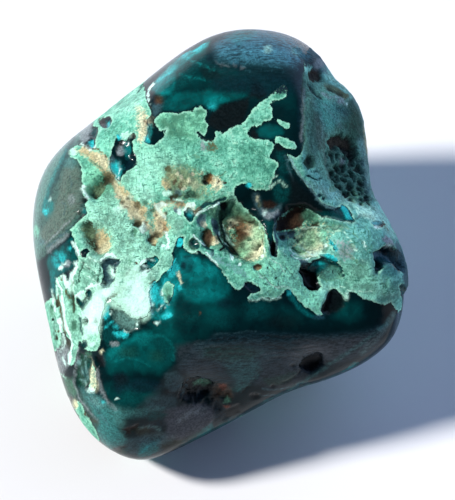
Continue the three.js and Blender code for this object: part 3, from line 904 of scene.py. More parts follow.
# lens on the left
dab("cyan", .8, .8, 0, 119,137, 2.5,3.5)
dab("paleMint", .9, 2, 0, 126,135, 5,3)
dab("black", .8, .7, 0, 119,144, 3,2)
dab("lilac", .8, 1, 0, 120,150, 3.5,5)
area("teal", .8, 1.2, .05, 124,140, 130,141, 132,150, 129,158, 124,157, 123,148)
area("blueBlack", .7, 2, .1, 126,156, 134,157, 137,162, 132,169, 125,170)
area("cyan", .6, 3, .05, 110,160, 118,161, 121,168, 119,178, 116,182, 112,174)
dab("slate", .8, 1, 0, 112,159, 2,4)
area("cream", .5, 5, 0, 135,104, 146,108, 150,122, 147,138, 140,146, 136,130)
line(2, "orangeBrown", .3, 2, 0, 144,112, 146,122, 143,134)
line(1.4, "cream", .8, .9, 0, 141,120, 143,130, 140,142)
dab("brown", .8, .8, 0, 146,122, 3,2)
dab("cyan", .85, .7, 0, 147,140, 2.5,3.5)
area("teal", .8, 1, 0, 147,125, 152,124, 153,133, 150,140, 148,136)
# curved slot and the mottled limb
area("darkOlive", .75, 3.5, .3, 112,177, 107,176, 102,178, 99,183, 96,187, 93,190, 91,193, 93,197,
    96,197, 99,194, 101,190, 104,186, 108,183, 113,183)
dab("green", .5, 1.5, 0, 88,189, 4,6)
line(3, "white", .9, .8, 0, 83,186, 84,192, 87,197)
dab("black", .9, .8, .08, 84,200, 2.5,2.5)
dab("teal", .9, .8, 0, 84.5,211, 2.5,3)
dab("black", .8, .8, .06, 79,213, 2,3)
dab("moss", .5, 2.5, 0, 97,187, 5,4)
# ochre band across the left crust
area("ochre", .5, 5, .04, 115,186, 122,186, 126,192, 134,200, 140,208, 146,212, 142,217, 134,212,
    126,204, 118,196)
dab("cream", .6, 3, 0, 117,195, 3,3)
dab("cream", .6, 4, 0, 126,205, 6,5)
dab("brown", .8, .6, .04, 126,207, 2,1.2)
dab("cream", .6, 4, 0, 134,214, 5,5)
area("darkOlive", .8, 2.2, .2, 135,202, 138,200.5, 141,203, 141,207, 138,209, 135,207)
dab("ochre", .6, 3, 0, 143,210, 3,4)
dab("green", .6, 1, 0, 146,203, 3,3)
area("darkOlive", .8, 2.2, .2, 132,224, 135,220, 139,221, 142,221, 141,225, 138,228, 136,226,
    133,226)
area("white", .9, .8, 0, 143,220, 146,224, 145,230, 143,234, 140,231, 138,229, 140,226)
dab("green", .7, 1, .08, 135,233, 2.5,4)
dab("paleMint", .6, 2, 0, 130,198, 3,2)
line(9, "ochre", .32, 5, 0, 112,178, 124,194, 136,208, 146,222, 154,234)
line(7, "darkOlive", .3, 4, 0, 106,176, 122,198, 134,214, 144,230)
line(3, "cream", .5, 2, 0, 112,182, 122,196, 130,206)
line(3, "cream", .45, 2, 0, 136,212, 146,224, 152,232)
dab("darkOlive", .6, 1.2, .06, 128,199, 1.6,1.4)
dab("darkOlive", .6, 1.2, .06, 122,202, 1.4,1.6)
dab("darkOlive", .6, 1.2, .06, 146,222, 1.6,1.4)
dab("paleMint", .5, 3, 0, 118,210, 6,4)
# main ochre patch
area("ochre", .72, 4, 0, 155,208, 158,211, 162,216, 166,221, 169,226, 167,230, 163,233, 160,236,
    157,232, 155,226, 154,219, 153,213)
area("orange", .35, 4, 0, 161,219, 165,222, 168,227, 165,231, 161,229)
dab("brown", .85, .6, .05, 156,214, 1.5,1.5)
dab("brown", .85, .6, .05, 161,222, 1.3,1.3)
area("darkOlive", .8, 2.5, .2, 155,230, 158,229, 160,231, 161,234, 158,236, 154,237, 152,241,
    150,243, 147,241, 147,238, 150,236, 153,234)
dab("green", .8, .8, 0, 152.5,209, 3,2)
dab("ochre", .6, 3, 0, 154,241, 3,3)
line(2, "olive", .8, .7, 0, 152,244, 156,245)
area("white", .95, .8, 0, 153,205, 158,203, 162,201.5, 165,203, 170,204, 164,206, 160,207, 162,211,
    165,216, 165,218, 161,215, 158,210, 155,207)
dab("slate", .7, 1, 0, 176,210, 2.5,3)
dab("white", .8, .7, 0, 179.5,212, 2,3)
area("brown", .55, 3, .06, 165,202, 170,197, 174,198, 178,200, 185,201, 184,206, 181,209, 178,206,
    174,203, 168,203)
line(2, "paleMint", .8, .8, 0, 173,199, 178,199.5, 182,201)
line(3, "white", .6, 1.2, 0, 165,232, 168,240, 167,248)
dab("white", .8, .6, 0, 163,245, 1.5,1.5)
dab("cream", .6, 3, 0, 160,214, 4,5)
dab("brown", .7, 1, .06, 163,227, 1.4,1.4)
dab("darkOlive", .6, 1.4, .06, 166,212, 1.6,1.6)
dab("cream", .5, 2.5, 0, 158,226, 3,4)
# rough brownish area above it
area("olive", .35, 6, 0, 164,172, 176,167, 190,170, 198,180, 190,192, 178,196, 168,190)
dab("ochre", .6, 3, 0, 172,176, 4,3)
dab("ochre", .5, 3, 0, 184,182, 4,3)
dab("cream", .42, 3, 0, 194,184, 5,4)
dab("slate", .5, 2, .08, 201,220, 4,6)
area("moss", .4, 5, 0, 162,172, 176,166, 194,170, 206,182, 214,196, 200,202, 184,198, 168,190)
line(6, "ochre", .34, 4, 0, 154,204, 168,206, 182,204, 196,210)
dab("mint", .5, 3, 0, 186,190, 6,4)
dab("greenDark", .45, 2, .04, 179,195, 5,3)
dab("greenDark", .4, 2, .04, 197,196, 4,2.5)
dab("ochre", .5, 2.5, 0, 166,184, 5,4)
# hollow with ochre at the far left; its dark olive left side is painted shade
area("darkOlive", .6, 5, .24, 82,229, 88,223, 95,228, 97,238, 100,250, 97,254, 90,248, 84,240)
area("ochre", .65, 5, .1, 96,230, 103,228, 109,236, 110,246, 104,252, 100,246, 97,238)
area("cream", .6, 5, 0, 101,242, 106,240, 109,246, 104,251)
dab("darkOlive", .7, 1.65, .15, 88,223, 3,3)
dab("greenDark", .6, 1, .06, 52,306, 1.6,2.4)
dab("greenDark", .6, 1, .06, 55,318, 1.6,2)
dab("greenDark", .6, 1, .05, 62,312, 1.4,5, 10)
dab("greenDark", .5, 1.2, .05, 70,296, 2,4, 20)
dab("greenDark", .5, 1.2, .05, 76,282, 2,3)
dab("greenDark", .5, 1.2, .05, 74,326, 2.5,5)
line(1.6, "white", .6, .8, 0, 56,286, 58,296, 62,306, 62,316)
line(1.6, "paleMint", .6, .8, 0, 82,262, 90,268, 98,274)
line(1.6, "green", .6, .8, .04, 84,268, 92,274, 97,282)
dab("brown", .6, 1.2, .05, 103,238, 1.6,1.4)
dab("darkOlive", .5, 1.5, .06, 99,246, 2,2)
dab("moss", .5, 4, 0, 86,230, 5,6)
dab("greenDark", .5, 2.5, .06, 84,224, 4,3)
dab("ochre", .5, 3, 0, 98,238, 3,6)
dab("cream", .45, 2, 0, 99,249, 4,3)
dab("darkOlive", .6, 1.4, .05, 94,246, 2,3)
# flank, left corner
area("tealDark", .8, 2, 0, 64,246, 71,241, 76,250, 77,258, 73,266, 66,270, 62,258)
area("cyan", .55, 2.5, 0, 55,254, 60,252, 66,255, 65,262, 60,268, 55,268, 52,260)
area("lilac", .85, 1, 0, 62,266, 67,260, 71,262, 70,266, 66,268)
dab("white", 1, .8, 0, 60.5,268, 2.2,2)
area("blueBlack", .85, 1, .08, 66,272, 70,275, 71,279, 67,281, 65,276)
dab("cyan", .9, .6, 0, 70,249, 1.6,1.6)
line(4, "teal", .7, 1.5, 0, 52,272, 53,284, 54,296)
line(3, "white", .9, .8, 0, 73,243, 77,249, 78,255)
line(2.5, "white", .85, .8, 0, 77,262, 76,268, 72,273, 71,277, 73,281, 70,285, 67,287, 65,281,
    62,276)
line(1.6, "olive", .7, .7, .05, 66,289, 66,294, 69,299)
dab("olive", .6, .8, .05, 72,283, 1.2,3)
dab("olive", .5, .8, .05, 62,279, 1.2,3)
area("tealDark", .9, .8, .1, 76,296, 77,302, 80,308, 83,310, 88,303, 92,296, 90,289, 87,290,
    86,296, 82,302, 79,300)
dab("paleMint", .9, 1, 0, 82,297, 3.5,4.5)
line(2, "white", .9, .7, 0, 75,296, 82,291, 90,286, 92,284)
area("paleMint", 1, 4, 0, 96,286, 112,282, 120,276, 119,290, 113,299, 107,304, 105,312, 101,320,
    99,332, 95,345, 88,346, 83,338, 82,326, 81,312, 87,303, 94,294)
area("white", 1, 3.5, 0, 101,290, 112,287, 117,280, 116,288, 110,297, 103,304, 101,314, 98,328,
    93,334, 88,330, 85,318, 88,307, 95,298)
dab("mint", .6, 2, 0, 93,338, 4,4)
dab("green", .5, 2, .05, 96,322, 1.6,4)
dab("mint", .5, 2, 0, 104,300, 2,5, 30)
area("green", .3, 3, 0, 66,302, 74,300, 78,312, 79,330, 76,342, 70,336, 67,322)
line(3, "white", .9, .8, 0, 60,318, 63,324, 66,330, 70,334)
line(1.6, "white", .7, .7, 0, 60,326, 62,334, 61,344, 58,350)
area("black", .9, .7, .12, 82,322, 86,318, 88.5,321, 86,325.5)
dab("olive", .9, .6, .06, 57,331, 3,1.2)
dab("black", .7, .6, .05, 53,320, 1.2,1.6)
dab("darkOlive", .8, .7, .06, 57,304, 1.6,4)
area("darkOlive", .9, 2.64, .25, 62,335, 66,338, 70,342, 68,352, 60,356, 60,345)
area("tealDark", .8, .8, .05, 81,342, 87,341, 88,346, 84,350, 82,347)
dab("green", .5, 1.2, 0, 52,312, 3,5)
line(2, "olive", .8, .8, .05, 58,296, 60,310, 63,324, 65,334)
line(2.5, "darkOlive", .75, .9, .08, 70,285, 72,293, 73,303, 74,312)
line(1.8, "greenDark", .7, .9, .05, 84,262, 80,272, 79,282)
line(1.6, "greenDark", .6, .9, .04, 100,262, 99,274, 97,284)
line(2, "white", .95, .7, 0, 57,279, 61,290, 63,304, 65,320, 69,334, 71,346, 71,358)
line(2, "white", .9, .7, 0, 75,262, 77,267, 73,275, 68,281, 69,290)
line(1.8, "white", .8, .7, 0, 58,320, 62,333, 62,344, 59,352)
line(2, "white", .9, .7, 0, 85,289, 92,287, 99,283)
dab("paleMint", .8, 2, 0, 71,288, 3,5, 15)
line(1.6, "white", .7, .7, 0, 52,290, 53,302, 55,312)
line(1.8, "paleMint", .8, .8, 0, 88,258, 96,262, 102,262)
line(1.4, "greenDark", .7, .7, .04, 88,268, 94,272, 98,280)
line(1.4, "paleMint", .7, .7, 0, 84,274, 90,278, 96,282)
dab("olive", .6, 1, .06, 54,296, 1.5,3)
dab("darkOlive", .7, .9, .08, 56,338, 2,3)
line(2.2, "tealDark", .8, .9, .06, 80,318, 80,326, 82,334)
line(2, "blueBlack", .7, 1, 0, 50,252, 56,256, 60,263, 67,267)
line(1.6, "tealDark", .8, 1, 0, 54,246, 60,250, 68,250, 73,256)
dab("tealDark", .6, 1.4, 0, 57,262, 3,2)
dab("blueBlack", .5, 1.4, 0, 66,244, 4,3)
line(1.4, "white", .8, .6, 0, 60,267, 64,265, 68,263)
# grey pocket in the flank
area("slate", .75, 1, .15, 102,261, 107,258, 112,258, 121,260, 117,266, 115,272, 114,279, 110,286,
    102,288, 104,276)
area("blueBlack", .7, .8, 0, 103,260, 112,259, 118,262, 112,264, 106,264)
dab("paleMint", .85, .8, 0, 110,271, 2.5,6, 12)
dab("white", 1, .6, 0, 112.6,273, 1.3,4, 8)
line(1.6, "black", .9, .6, 0, 115,269, 115,276, 113,280)
dab("black", .7, .7, 0, 104,282, 2,3)
line(3, "white", .9, .8, 0, 102,259, 106,255, 111,254, 115,256)
line(2.5, "paleMint", .85, .8, 0, 117,266, 116,275, 114,283, 116,290)
# flank right of it
area("green", .35, 2.5, 0, 120,262, 126,258, 134,257, 133,266, 131,276, 124,280, 120,272)
line(1.6, "brown", .8, .6, 0, 137,262, 138,268, 137,275)
area("teal", .85, .8, .1, 146,262, 150,258, 155,256, 159,259, 155,265, 150,268, 146,267)
dab("white", .8, .6, 0, 152,259, 2,1.2)
dab("white", .9, .6, 0, 144,266.5, 2,1.6)
line(1.6, "blueBlack", .8, .6, 0, 141,264, 141,268, 146,269)
area("white", .9, .8, 0, 139,264, 142,260, 147,259, 144,262, 140,267)
area("white", .9, .8, 0, 140,271, 146,270, 147,275, 142,277)
area("paleMint", 1, 4, 0, 128,270, 140,268, 150,284, 152,302, 152,315, 144,321, 136,322, 128,316,
    122,306, 116,300, 120,290, 124,280)
area("white", 1, 4, 0, 130,284, 138,276, 143,284, 148,296, 149,308, 146,315, 139,318, 133,317,
    128,311, 125,303, 124,294)
dab("mint", .5, 2.5, 0, 128,292, 3,6, -30)
dab("mint", .4, 2.5, 0, 147,288, 3,5)
area("paleMint", .9, 3, 0, 108,299, 118,299, 126,307, 122,311, 112,306)
line(3, "olive", .6, 1, .04, 107,301, 111,297, 116,294)
line(2.5, "white", .9, .7, 0, 149,287, 148,293, 149,300, 151,304)
line(1.6, "darkOlive", .8, .6, 0, 150,284, 155,281)
line(2, "tealDark", .8, .8, .06, 141,270, 146,272, 152,268)
line(1.6, "blueBlack", .7, .7, 0, 146,258, 151,262, 156,264)
line(1.4, "white", .9, .5, 0, 141,276, 144,272, 149,270)
# mid teal facets
line(2.5, "cream", .85, .7, 0, 178,272, 180,278, 181,284)
dab("cyan", .7, .8, 0, 180,288, 2.5,3)
line(1.2, "white", .9, .5, 0, 160,308, 161,305, 165,307)
dab("black", .9, .6, 0, 162.5,308.5, 1.6,1.6)
area("cyan", 1, .8, 0, 161,318, 165,314, 170,313, 173,314, 170,318, 165,320)
dab("white", .9, .6, 0, 156.5,323, 2,1.8)
dab("black", .9, .6, 0, 153,322, 2,2)
dab("teal", .8, 1.2, 0, 154,316, 4,3, -30)
area("tealDark", .8, 1.2, 0, 150,306, 160,304, 160,311, 152,315)
dab("blueBlack", .85, 1.2, 0, 183,266, 3,4)
dab("black", .8, 1.2, 0, 187,257, 4,1.5)
dab("tealDark", .9, 1.2, 0, 176,250, 3,4)
area("blueBlack", .5, 2.5, 0, 181,258, 192,257, 196,264, 192,272, 182,272)
dab("brown", .7, .6, 0, 200,313, 1.6,2)
area("green", .35, 2, 0, 163,287, 170,283, 172,292, 168,301, 164,298)
line(1.6, "white", .7, .7, 0, 161,288, 162,296, 165,303, 169,304)
line(2, "tealDark", .8, 1.4, 0, 160,286, 157,296, 159,308)
line(1.6, "tealDark", .8, 1.2, 0, 172,266, 167,276, 163,284)
line(1.6, "teal", .8, 1, 0, 153,290, 154,302, 157,312)
line(1.4, "cyan", .9, .8, 0, 166,278, 164,284, 160,290)
line(1.4, "cyan", .9, .8, 0, 176,258, 172,266, 168,272)
line(2, "tealDark", .5, 1.4, 0, 178,262, 175,272, 176,282)
line(1.6, "tealDark", .8, 1.2, 0, 166,304, 162,312, 156,316)
dab("tealDark", .7, 2, 0, 170,300, 2.5,5)
line(1.4, "blueLight", .6, .8, 0, 150,296, 151,306, 153,314)
dab("tealDark", .6, 2, 0, 186,284, 4,5)
dab("teal", .5, 3, 0, 208,272, 7,5, 20)
dab("teal", .5, 3, 0, 200,292, 8,4)
line(1.4, "teal", .6, 1.2, 0, 204,262, 212,268, 220,278)
dab("tealDark", .5, 4, 0, 190,318, 8,5)
dab("tealDark", .7, 1.6, 0, 160,312, 4,2.4)
line(1.6, "blueBlack", .5, 1, 0, 170,308, 164,310, 158,318)
area("cyan", .75, 1.2, 0, 150,286, 155,282, 159,287, 158,295, 155,303, 151,302)
area("cyan", .6, 1.4, 0, 167,272, 172,266, 177,262, 179,268, 175,276, 170,280)
dab("white", .7, .6, 0, 157,309, 1.4,.9)
dab("cyan", .8, .8, 0, 163,300, 1.6,3, 20)
line(1.4, "blueBlack", .6, .8, 0, 158,284, 161,292, 160,300)
# grey pocket under the white wedge
area("limbGrey", .85, 3, .12, 112,312, 120,311, 128,316, 138,321, 138,328, 130,330, 122,328,
    114,320)
dab("white", 1, .6, 0, 136.5,324, 1.3,2)
dab("black", .8, .8, 0, 140,321, 2,3, 20)
area("tealDark", .8, 1.5, .08, 102,318, 110,316, 114,324, 120,330, 130,332, 122,342, 108,346,
    102,340, 101,328)
area("cyan", .9, .8, 0, 103,317, 107,311, 109,314, 106,320)
line(1.2, "white", .9, .5, 0, 109,315, 112,312)
line(1.6, "black", .9, .6, 0, 109,310, 113,309, 116,313)
dab("cyan", .6, .8, 0, 116,327, 3,2.5)
area("cyan", .95, 1, 0, 113,333, 120,331, 126,332, 129,336, 125,339, 118,338)
area("lilac", .8, .8, 0, 110,344, 114,341, 119,343, 118,347, 112,347)
dab("tealDark", .6, .8, 0, 119,334, 2.4,1.2, 30)
line(1.4, "white", .8, .5, 0, 124,331, 128,333)
line(1.4, "cyan", .8, .7, 0, 104,328, 109,324, 114,321)
# lower front glass
area("teal", .35, 4, 0, 108,350, 116,346, 128,350, 124,360, 112,362, 106,358)
area("teal", .35, 4, 0, 134,334, 146,330, 152,336, 150,344, 142,346, 136,342)
area("tealDark", .45, 4, 0, 120,344, 134,346, 140,356, 130,362, 120,356)
area("tealDark", .5, 3, 0, 152,338, 166,340, 172,350, 170,364, 160,360, 156,348)
line(2, "teal", .4, 1.5, 0, 152,336, 162,336, 170,341, 174,350, 174,360)
area("blueBlack", .8, 3, 0, 114,374, 124,373, 130,380, 150,380, 164,384, 158,392, 140,394, 126,392,
    118,396, 113,386)
dab("black", .6, 3, 0, 121,380, 7,6)
dab("tealDark", .6, 4, 0, 130,398, 12,8)
dab("white", .9, .5, 0, 116.5,398.5, 1.3,1.2)
dab("blueBlack", .6, 4, 0, 224,303, 8,6)
dab("tealDark", .5, 5, 0, 256,310, 14,9)
dab("tealDark", .4, 5, 0, 222,320, 12,7)
dab("black", .6, 5, 0, 284,322, 16,7)
dab("black", .8, 2, 0, 389,312, 4,7)
dab("blue", .5, 2, 0, 319,317, 5,2.5)
dab("greenDark", .4, 4, 0, 128,352, 9,5)
dab("greenDark", .35, 4, 0, 156,356, 7,6)
line(1.4, "teal", .5, 1, 0, 112,362, 126,358, 140,360, 150,366)
# left limb: grey band, painted sheen of the glass at its grazing edge; dark line and teal patch
area("limbGrey", .75, 3, 0, 28,260, 34,200, 48,150, 70,128, 84,124, 78,138, 66,152, 58,170, 50,192,
    42,206, 38,226, 44,244, 38,258)
area("stoneGrey", .35, 3, 0, 70,160, 80,170, 82,196, 78,214, 66,228, 52,238, 44,246, 40,232,
    52,216, 58,196, 62,176)
line(4, "tealDark", .75, 1.5, 0, 74,138, 66,152, 60,168, 55,180, 50,192, 47,200)
line(1.6, "tealDark", .6, .8, 0, 64,158, 60,170, 57,182)
area("teal", .75, 1.2, 0, 44,200, 50,198, 54,204, 52,212, 46,217, 41,212, 42,205)
dab("cyan", .85, 1, 0, 45,212, 3,3)
dab("white", .8, .6, 0, 50,198.5, 1,2, -30)
dab("mint", .6, 1.5, 0, 36,231, 3,6)
dab("blueBlack", .7, .7, 0, 51,231, 2,1.1)
dab("slate", .6, 1.5, 0, 42,242, 4,3)
line(1.5, "lilac", .7, .8, 0, 45,243, 55,235, 64,226, 72,218)
line(1.6, "slate", .8, .8, 0, 46,248, 56,240, 66,232, 72,226)
line(3, "lilac", .6, 1.2, 0, 48,251, 58,243, 68,235)
dab("dimSea", .5, 2.5, 0, 70,163, 6,6)
dab("lilac", .5, 2, 0, 71,200, 4,5)
line(1.2, "slate", .7, .6, 0, 60,200, 66,206, 64,214)
line(1.2, "slate", .6, .6, 0, 70,176, 72,184, 70,190)
line(3, "teal", .7, 1.5, 0, 66,150, 56,170, 48,190, 44,206)
# lower left corner
area("lilac", .7, 2, 0, 56,348, 64,346, 68,354, 68,366, 62,374, 56,366)
dab("white", 1, .6, 0, 64,361, 1.3,4.5, 25)
line(3, "white", .9, .8, 0, 68,352, 70,358, 69,364)
line(1.6, "paleMint", .7, .7, 0, 57,368, 60,374, 66,378)
area("green", .5, 2, 0, 62,378, 72,378, 77,390, 74,396, 66,390)
area("greenDark", .9, 1.2, .2, 80,352, 86,356, 92,360, 90,372, 88,384, 84,388, 78,386, 75,376,
    76,366, 78,358)
dab("slateLight", .8, .8, 0, 77,363, 2,3)
dab("tealDark", .8, 1.5, 0, 84,372, 4,6)
line(1.4, "slateLight", .7, .6, 0, 78,380, 82,384, 84,380)
area("cream", .5, 2.2, 0, 90,358, 93,366, 96,372, 98,380, 98,390, 94,392, 90,386, 88,376, 89,366)
dab("white", .9, .7, 0, 91,390, 4,2.4)
area("black", .9, 1, .08, 95,357, 101,354, 104,360, 104,368, 99,367, 96,362)
dab("cream", .9, .7, 0, 101.5,352, 1.5,2.6)
area("dimSea", .65, 3, 0, 80,388, 92,392, 102,398, 110,408, 124,414, 124,426, 110,428, 98,420,
    88,406)
line(3, "lilac", .65, 1.2, 0, 97,370, 99,382, 102,392, 108,402, 116,410)
dab("cyan", .8, .7, 0, 102,402, 3,1.8)
dab("darkOlive", .85, 1.65, .06, 70,400, 3,3)
dab("cream", .9, 1.65, 0, 75,404, 3,4.6, 15)
dab("brown", .8, .6, .03, 84.5,414, 1,2)
line(1.5, "darkOlive", .7, .7, 0, 85,411, 90,418)
line(3, "brown", .5, 1, 0, 92,420, 99,424)
area("dimSea", .8, 2, 0, 100,422, 112,426, 120,431, 128,440, 120,448, 112,451, 103,444, 97,432)
area("umber", .9, .8, .12, 121,431, 126,429, 131,427, 136,425, 139,424, 137,429, 131,431, 130,435,
    126,433)
line(2, "black", .85, .8, .06, 138,444, 145,440, 152,438, 160,437)
dab("black", .5, 3, .04, 151,433, 8,5)
area("darkOlive", .85, 1.76, .05, 113,448, 119,450, 124,453, 120,455, 114,452)
line(1.8, "lilac", .6, .9, 0, 79,348, 75,364, 74,382, 78,397, 88,410, 98,421)
line(1.6, "slateLight", .6, .8, 0, 84,356, 83,368, 86,380)
dab("tealDark", .7, 1, .06, 88,364, 2,5)
dab("slateLight", .7, .8, 0, 80,372, 1.6,3, 20)
line(1.2, "white", .7, .6, 0, 82,382, 86,386)
dab("green", .5, 1.2, 0, 88,354, 3,3)
area("dimSea", .5, 4, 0, 104,402, 120,408, 140,410, 156,406, 164,408, 150,416, 126,418, 110,414)
dab("slateLight", .4, 3, 0, 96,402, 8,4, -40)
area("slate", .5, 3, 0, 125,440, 140,436, 165,440, 160,452, 140,458, 125,452)
area("darkOlive", .7, 1.6, .06, 159,444, 166,438, 176,437, 184,441, 180,449, 170,452, 162,450)
area("darkOlive", .6, 1.4, .05, 132,430, 146,427, 160,432, 166,438, 152,441, 140,438)
area("teal", .7, 1.6, 0, 138,453, 142,444, 152,442, 160,441, 158,450, 150,456, 140,458)
line(2, "cyan", .4, 1.2, 0, 141,452, 148,447, 156,443)
dab("black", .7, 1.2, .06, 120,449, 6,3, 20)
area("teal", .3, 3, 0, 92,404, 106,408, 118,424, 122,438, 112,444, 100,432)
line(2, "slate", .5, 1, 0, 90,398, 98,412, 108,424)
# front face
area("greyLilac", .75, 3, 0, 165,410, 175,408, 185,405, 195,403, 205,404, 212,408, 215,415,
    212,422, 205,427, 195,432, 185,436, 178,440, 170,438, 162,437, 168,430, 165,420)
area("dimSea", .35, 3, 0, 212,424, 205,429, 196,434, 188,440, 180,446, 196,444, 208,436)
area("greyLilac", .3, 4, 0, 176,346, 196,342, 220,346, 222,372, 200,376, 180,372)
area("slate", .4, 2, 0, 165,374, 176,371, 183,376, 180,390, 172,392, 165,386)
area("slate", .35, 3, 0, 146,400, 160,394, 176,398, 176,406, 160,412, 146,410)
area("black", .85, 1, .25, 184,383, 190,379, 198,378, 206,380, 212,384, 210,390, 205,397, 195,400,
    186,399, 180,396, 182,389)
dab("green", .55, 1, 0, 199,385, 4,2.5)
dab("black", .9, 1, .1, 191,394, 5,4)
dab("blueBlack", .8, 1, 0, 201,395, 4,4)
line(1.4, "slate", .7, .6, 0, 184,396, 188,388, 190,382)
area("brown", .7, 3, .06, 213,390, 218,385, 226,385, 231,391, 232,398, 226,396, 220,395, 214,396)
dab("rust", .95, 1, 0, 222,387, 4,3)
dab("rust", .8, 1, 0, 227,407, 4,2)
dab("green", .6, 1.2, 0, 227,400, 3,3)
area("black", .8, 1.5, .15, 212,398, 220,400, 224,408, 222,414, 214,410)
area("black", .8, 2, .12, 226,409, 238,405, 242,412, 234,418, 224,421, 220,416)
line(3, "slate", .7, 1.2, 0, 222,424, 230,420, 240,416, 250,413)
area("dimSea", .3, 4, 0, 228,358, 236,352, 248,352, 256,358, 262,368, 256,376, 248,384, 240,390,
    232,390, 236,380, 228,372, 224,364)
line(1.5, "black", .8, .7, .04, 261,371, 254,380, 243,392)
line(1.4, "black", .65, .8, .03, 190,345, 200,341, 215,340, 235,338)
line(1.4, "black", .65, .8, .03, 205,349, 220,348, 240,345, 252,346)
line(1.4, "black", .6, .8, .03, 186,353, 200,355, 215,352)
line(1.4, "slate", .4, .8, 0, 213,334, 235,333, 256,331)
line(1.4, "slate", .35, .8, 0, 226,343, 245,342, 262,340)
line(1.4, "black", .6, .8, .03, 256,346, 272,345, 284,348)
line(1.4, "black", .6, .8, .03, 262,336, 280,338, 300,337)
line(1.4, "black", .6, .8, .03, 292,344, 306,341, 322,344)
line(1.4, "black", .6, .8, .03, 330,344, 346,340, 360,342)
line(1.4, "greyLilac", .7, .8, 0, 262,355, 280,352, 300,354)
line(1.4, "black", .6, .8, .03, 266,362, 280,358, 294,360)
area("greyLilac", .3, 5, 0, 262,360, 290,352, 330,358, 350,358, 330,370, 300,384, 270,388, 256,384)
area("black", .95, 1, .35, 300,366, 303,360, 309,356, 317,353, 321,354, 322,362, 318,367, 311,371,
    303,370)
dab("black", .7, 1, .08, 293,366, 3,2)
line(2, "black", .7, .9, .05, 300,371, 296,376, 290,380, 282,383)
area("greenDark", .5, 1.5, 0, 262,378, 275,377, 290,372, 298,372, 292,380, 280,385, 268,386)
dab("black", .9, .8, .1, 273.5,386, 2,1.5)
dab("black", .9, 1, .12, 255,396, 5,2.6)
dab("black", .85, 1, .1, 304,386, 6,2)
line(1.5, "slate", .7, .8, 0, 262,389, 275,390, 290,387)
line(1.5, "slate", .6, .8, 0, 262,396, 280,394)
line(5, "slateLight", .3, 2, 0, 394,314, 388,324, 380,334, 372,342, 362,352)
area("greyLilac", .6, 6, 0, 300,344, 340,340, 376,334, 384,330, 374,344, 352,356, 330,362, 306,356)
area("slate", .3, 5, 0, 196,344, 230,346, 262,346, 286,356, 262,366, 226,366, 200,358)
area("greenDark", .5, 4, 0, 204,348, 240,346, 262,352, 250,360, 220,362, 204,358)
line(1.4, "black", .5, .8, .03, 196,352, 216,348, 238,350)
line(1.4, "black", .45, .8, .03, 210,356, 234,354, 256,357)
line(1.4, "black", .4, .8, .02, 190,362, 212,360, 236,364)
line(1.4, "black", .45, .8, .03, 264,348, 290,350, 316,346)
line(1.4, "black", .45, .8, .03, 270,358, 292,356, 306,358)
line(1.4, "black", .4, .8, .02, 196,370, 220,368, 240,372)
line(1.6, "dimSea", .35, 1, 0, 262,369, 256,378, 246,386, 236,391)
area("blueBlack", .7, 2.5, .05, 150,424, 160,418, 166,424, 160,432, 150,432)
area("tealDark", .8, 2.5, .03, 146,412, 158,410, 168,414, 160,420, 148,420)
area("slate", .5, 3, 0, 142,436, 160,432, 176,436, 170,444, 150,448, 138,446)
line(1.4, "slateLight", .5, .9, 0, 140,428, 152,426, 160,430)
line(3, "dimSea", .45, 2, 0, 388,322, 372,336, 352,350, 330,364, 306,380, 284,394, 262,404,
    238,424, 218,440)
line(4, "teal", .65, 1.5, 0, 356,363, 346,371, 334,378, 320,384, 306,388)
line(1.6, "cyan", .4, 1, 0, 352,367, 340,375, 328,381)
area("greyLilac", .5, 3, 0, 168,420, 176,410, 188,405, 200,404, 210,409, 214,418, 206,428, 194,434,
    180,440, 168,440)
# painted highlight: a light lilac streak on the smooth patch
line(5, "lilac", .3, 3, 0, 180,420, 192,412, 204,410)
area("blueBlack", .7, 2, .08, 213,398, 220,402, 226,410, 228,420, 222,430, 214,436, 210,428,
    214,416)
area("teal", .5, 2, 0, 198,434, 206,428, 212,424, 214,430, 206,436, 198,440)
line(1.4, "black", .5, .8, .03, 168,392, 178,394, 186,400)
line(1.4, "black", .45, .8, .03, 150,400, 160,402, 168,408)
dab("green", .5, 1.2, 0, 205,384, 5,3)
# upper left of the centre
area("olive", .5, 3, 0, 207,142, 211,141, 215,143, 218,148, 214,152, 208,152, 205,149)
dab("lilac", .5, 1.5, 0, 203,146, 2.5,6)
area("green", .45, 1, 0, 187,156, 193,154, 200,155, 200,159, 193,159)
line(1.5, "green", .7, .7, .03, 181,165, 188,166, 194,168, 198,170)
dab("olive", .7, 1.65, 0, 168,169, 3.5,3)
dab("brown", .8, .7, .05, 175,181, 1.6,2.2)
dab("brown", .8, .7, .05, 181,186, 1.6,2.6)
dab("cream", .9, .8, 0, 182,178, 2,2.2)
dab("cream", .9, .8, 0, 193,174, 2,2.6)
dab("cream", .8, .8, 0, 189,180, 2,2)
dab("cream", .8, .8, 0, 184,188, 2,2)
dab("cream", .8, .8, 0, 178,174, 1.5,2.6, 20)
dab("greenDark", .8, 1.2, .1, 192,194, 4.5,4)
dab("greenDark", .7, 1, .06, 187,197, 3,2)
dab("slate", .6, 1.5, .05, 177,191, 4,4)
dab("paleMint", .8, 1, 0, 166,193, 4,4)
dab("darkOlive", .8, 1.21, .08, 173,197, 4,2.2)
dab("black", .8, .7, .05, 170,189, 1.5,2)
area("darkOlive", .9, 1.98, .25, 203,175, 207,172, 211,173, 214,177, 213,181, 209,183, 204,182,
    202,179)
dab("orangeBrown", .9, 1.925, 0, 210,178, 3.5,3.5)
dab("black", .8, .7, .05, 205,181, 2,1.4)
dab("ochre", .9, .8, 0, 212,182, 3,1.6)
area("cream", .6, 3, 0, 213,176, 219,177, 223,182, 222,188, 217,192, 212,188)
dab("darkOlive", .9, .6, .05, 218,182.5, 1.4,1.3)
line(1.3, "green", .8, .6, .03, 216,176, 222,175, 225,172)
dab("darkOlive", .8, .6, .04, 225,183, 2,1.2)
dab("black", .85, 1, .15, 225,205, 4,3, -20)
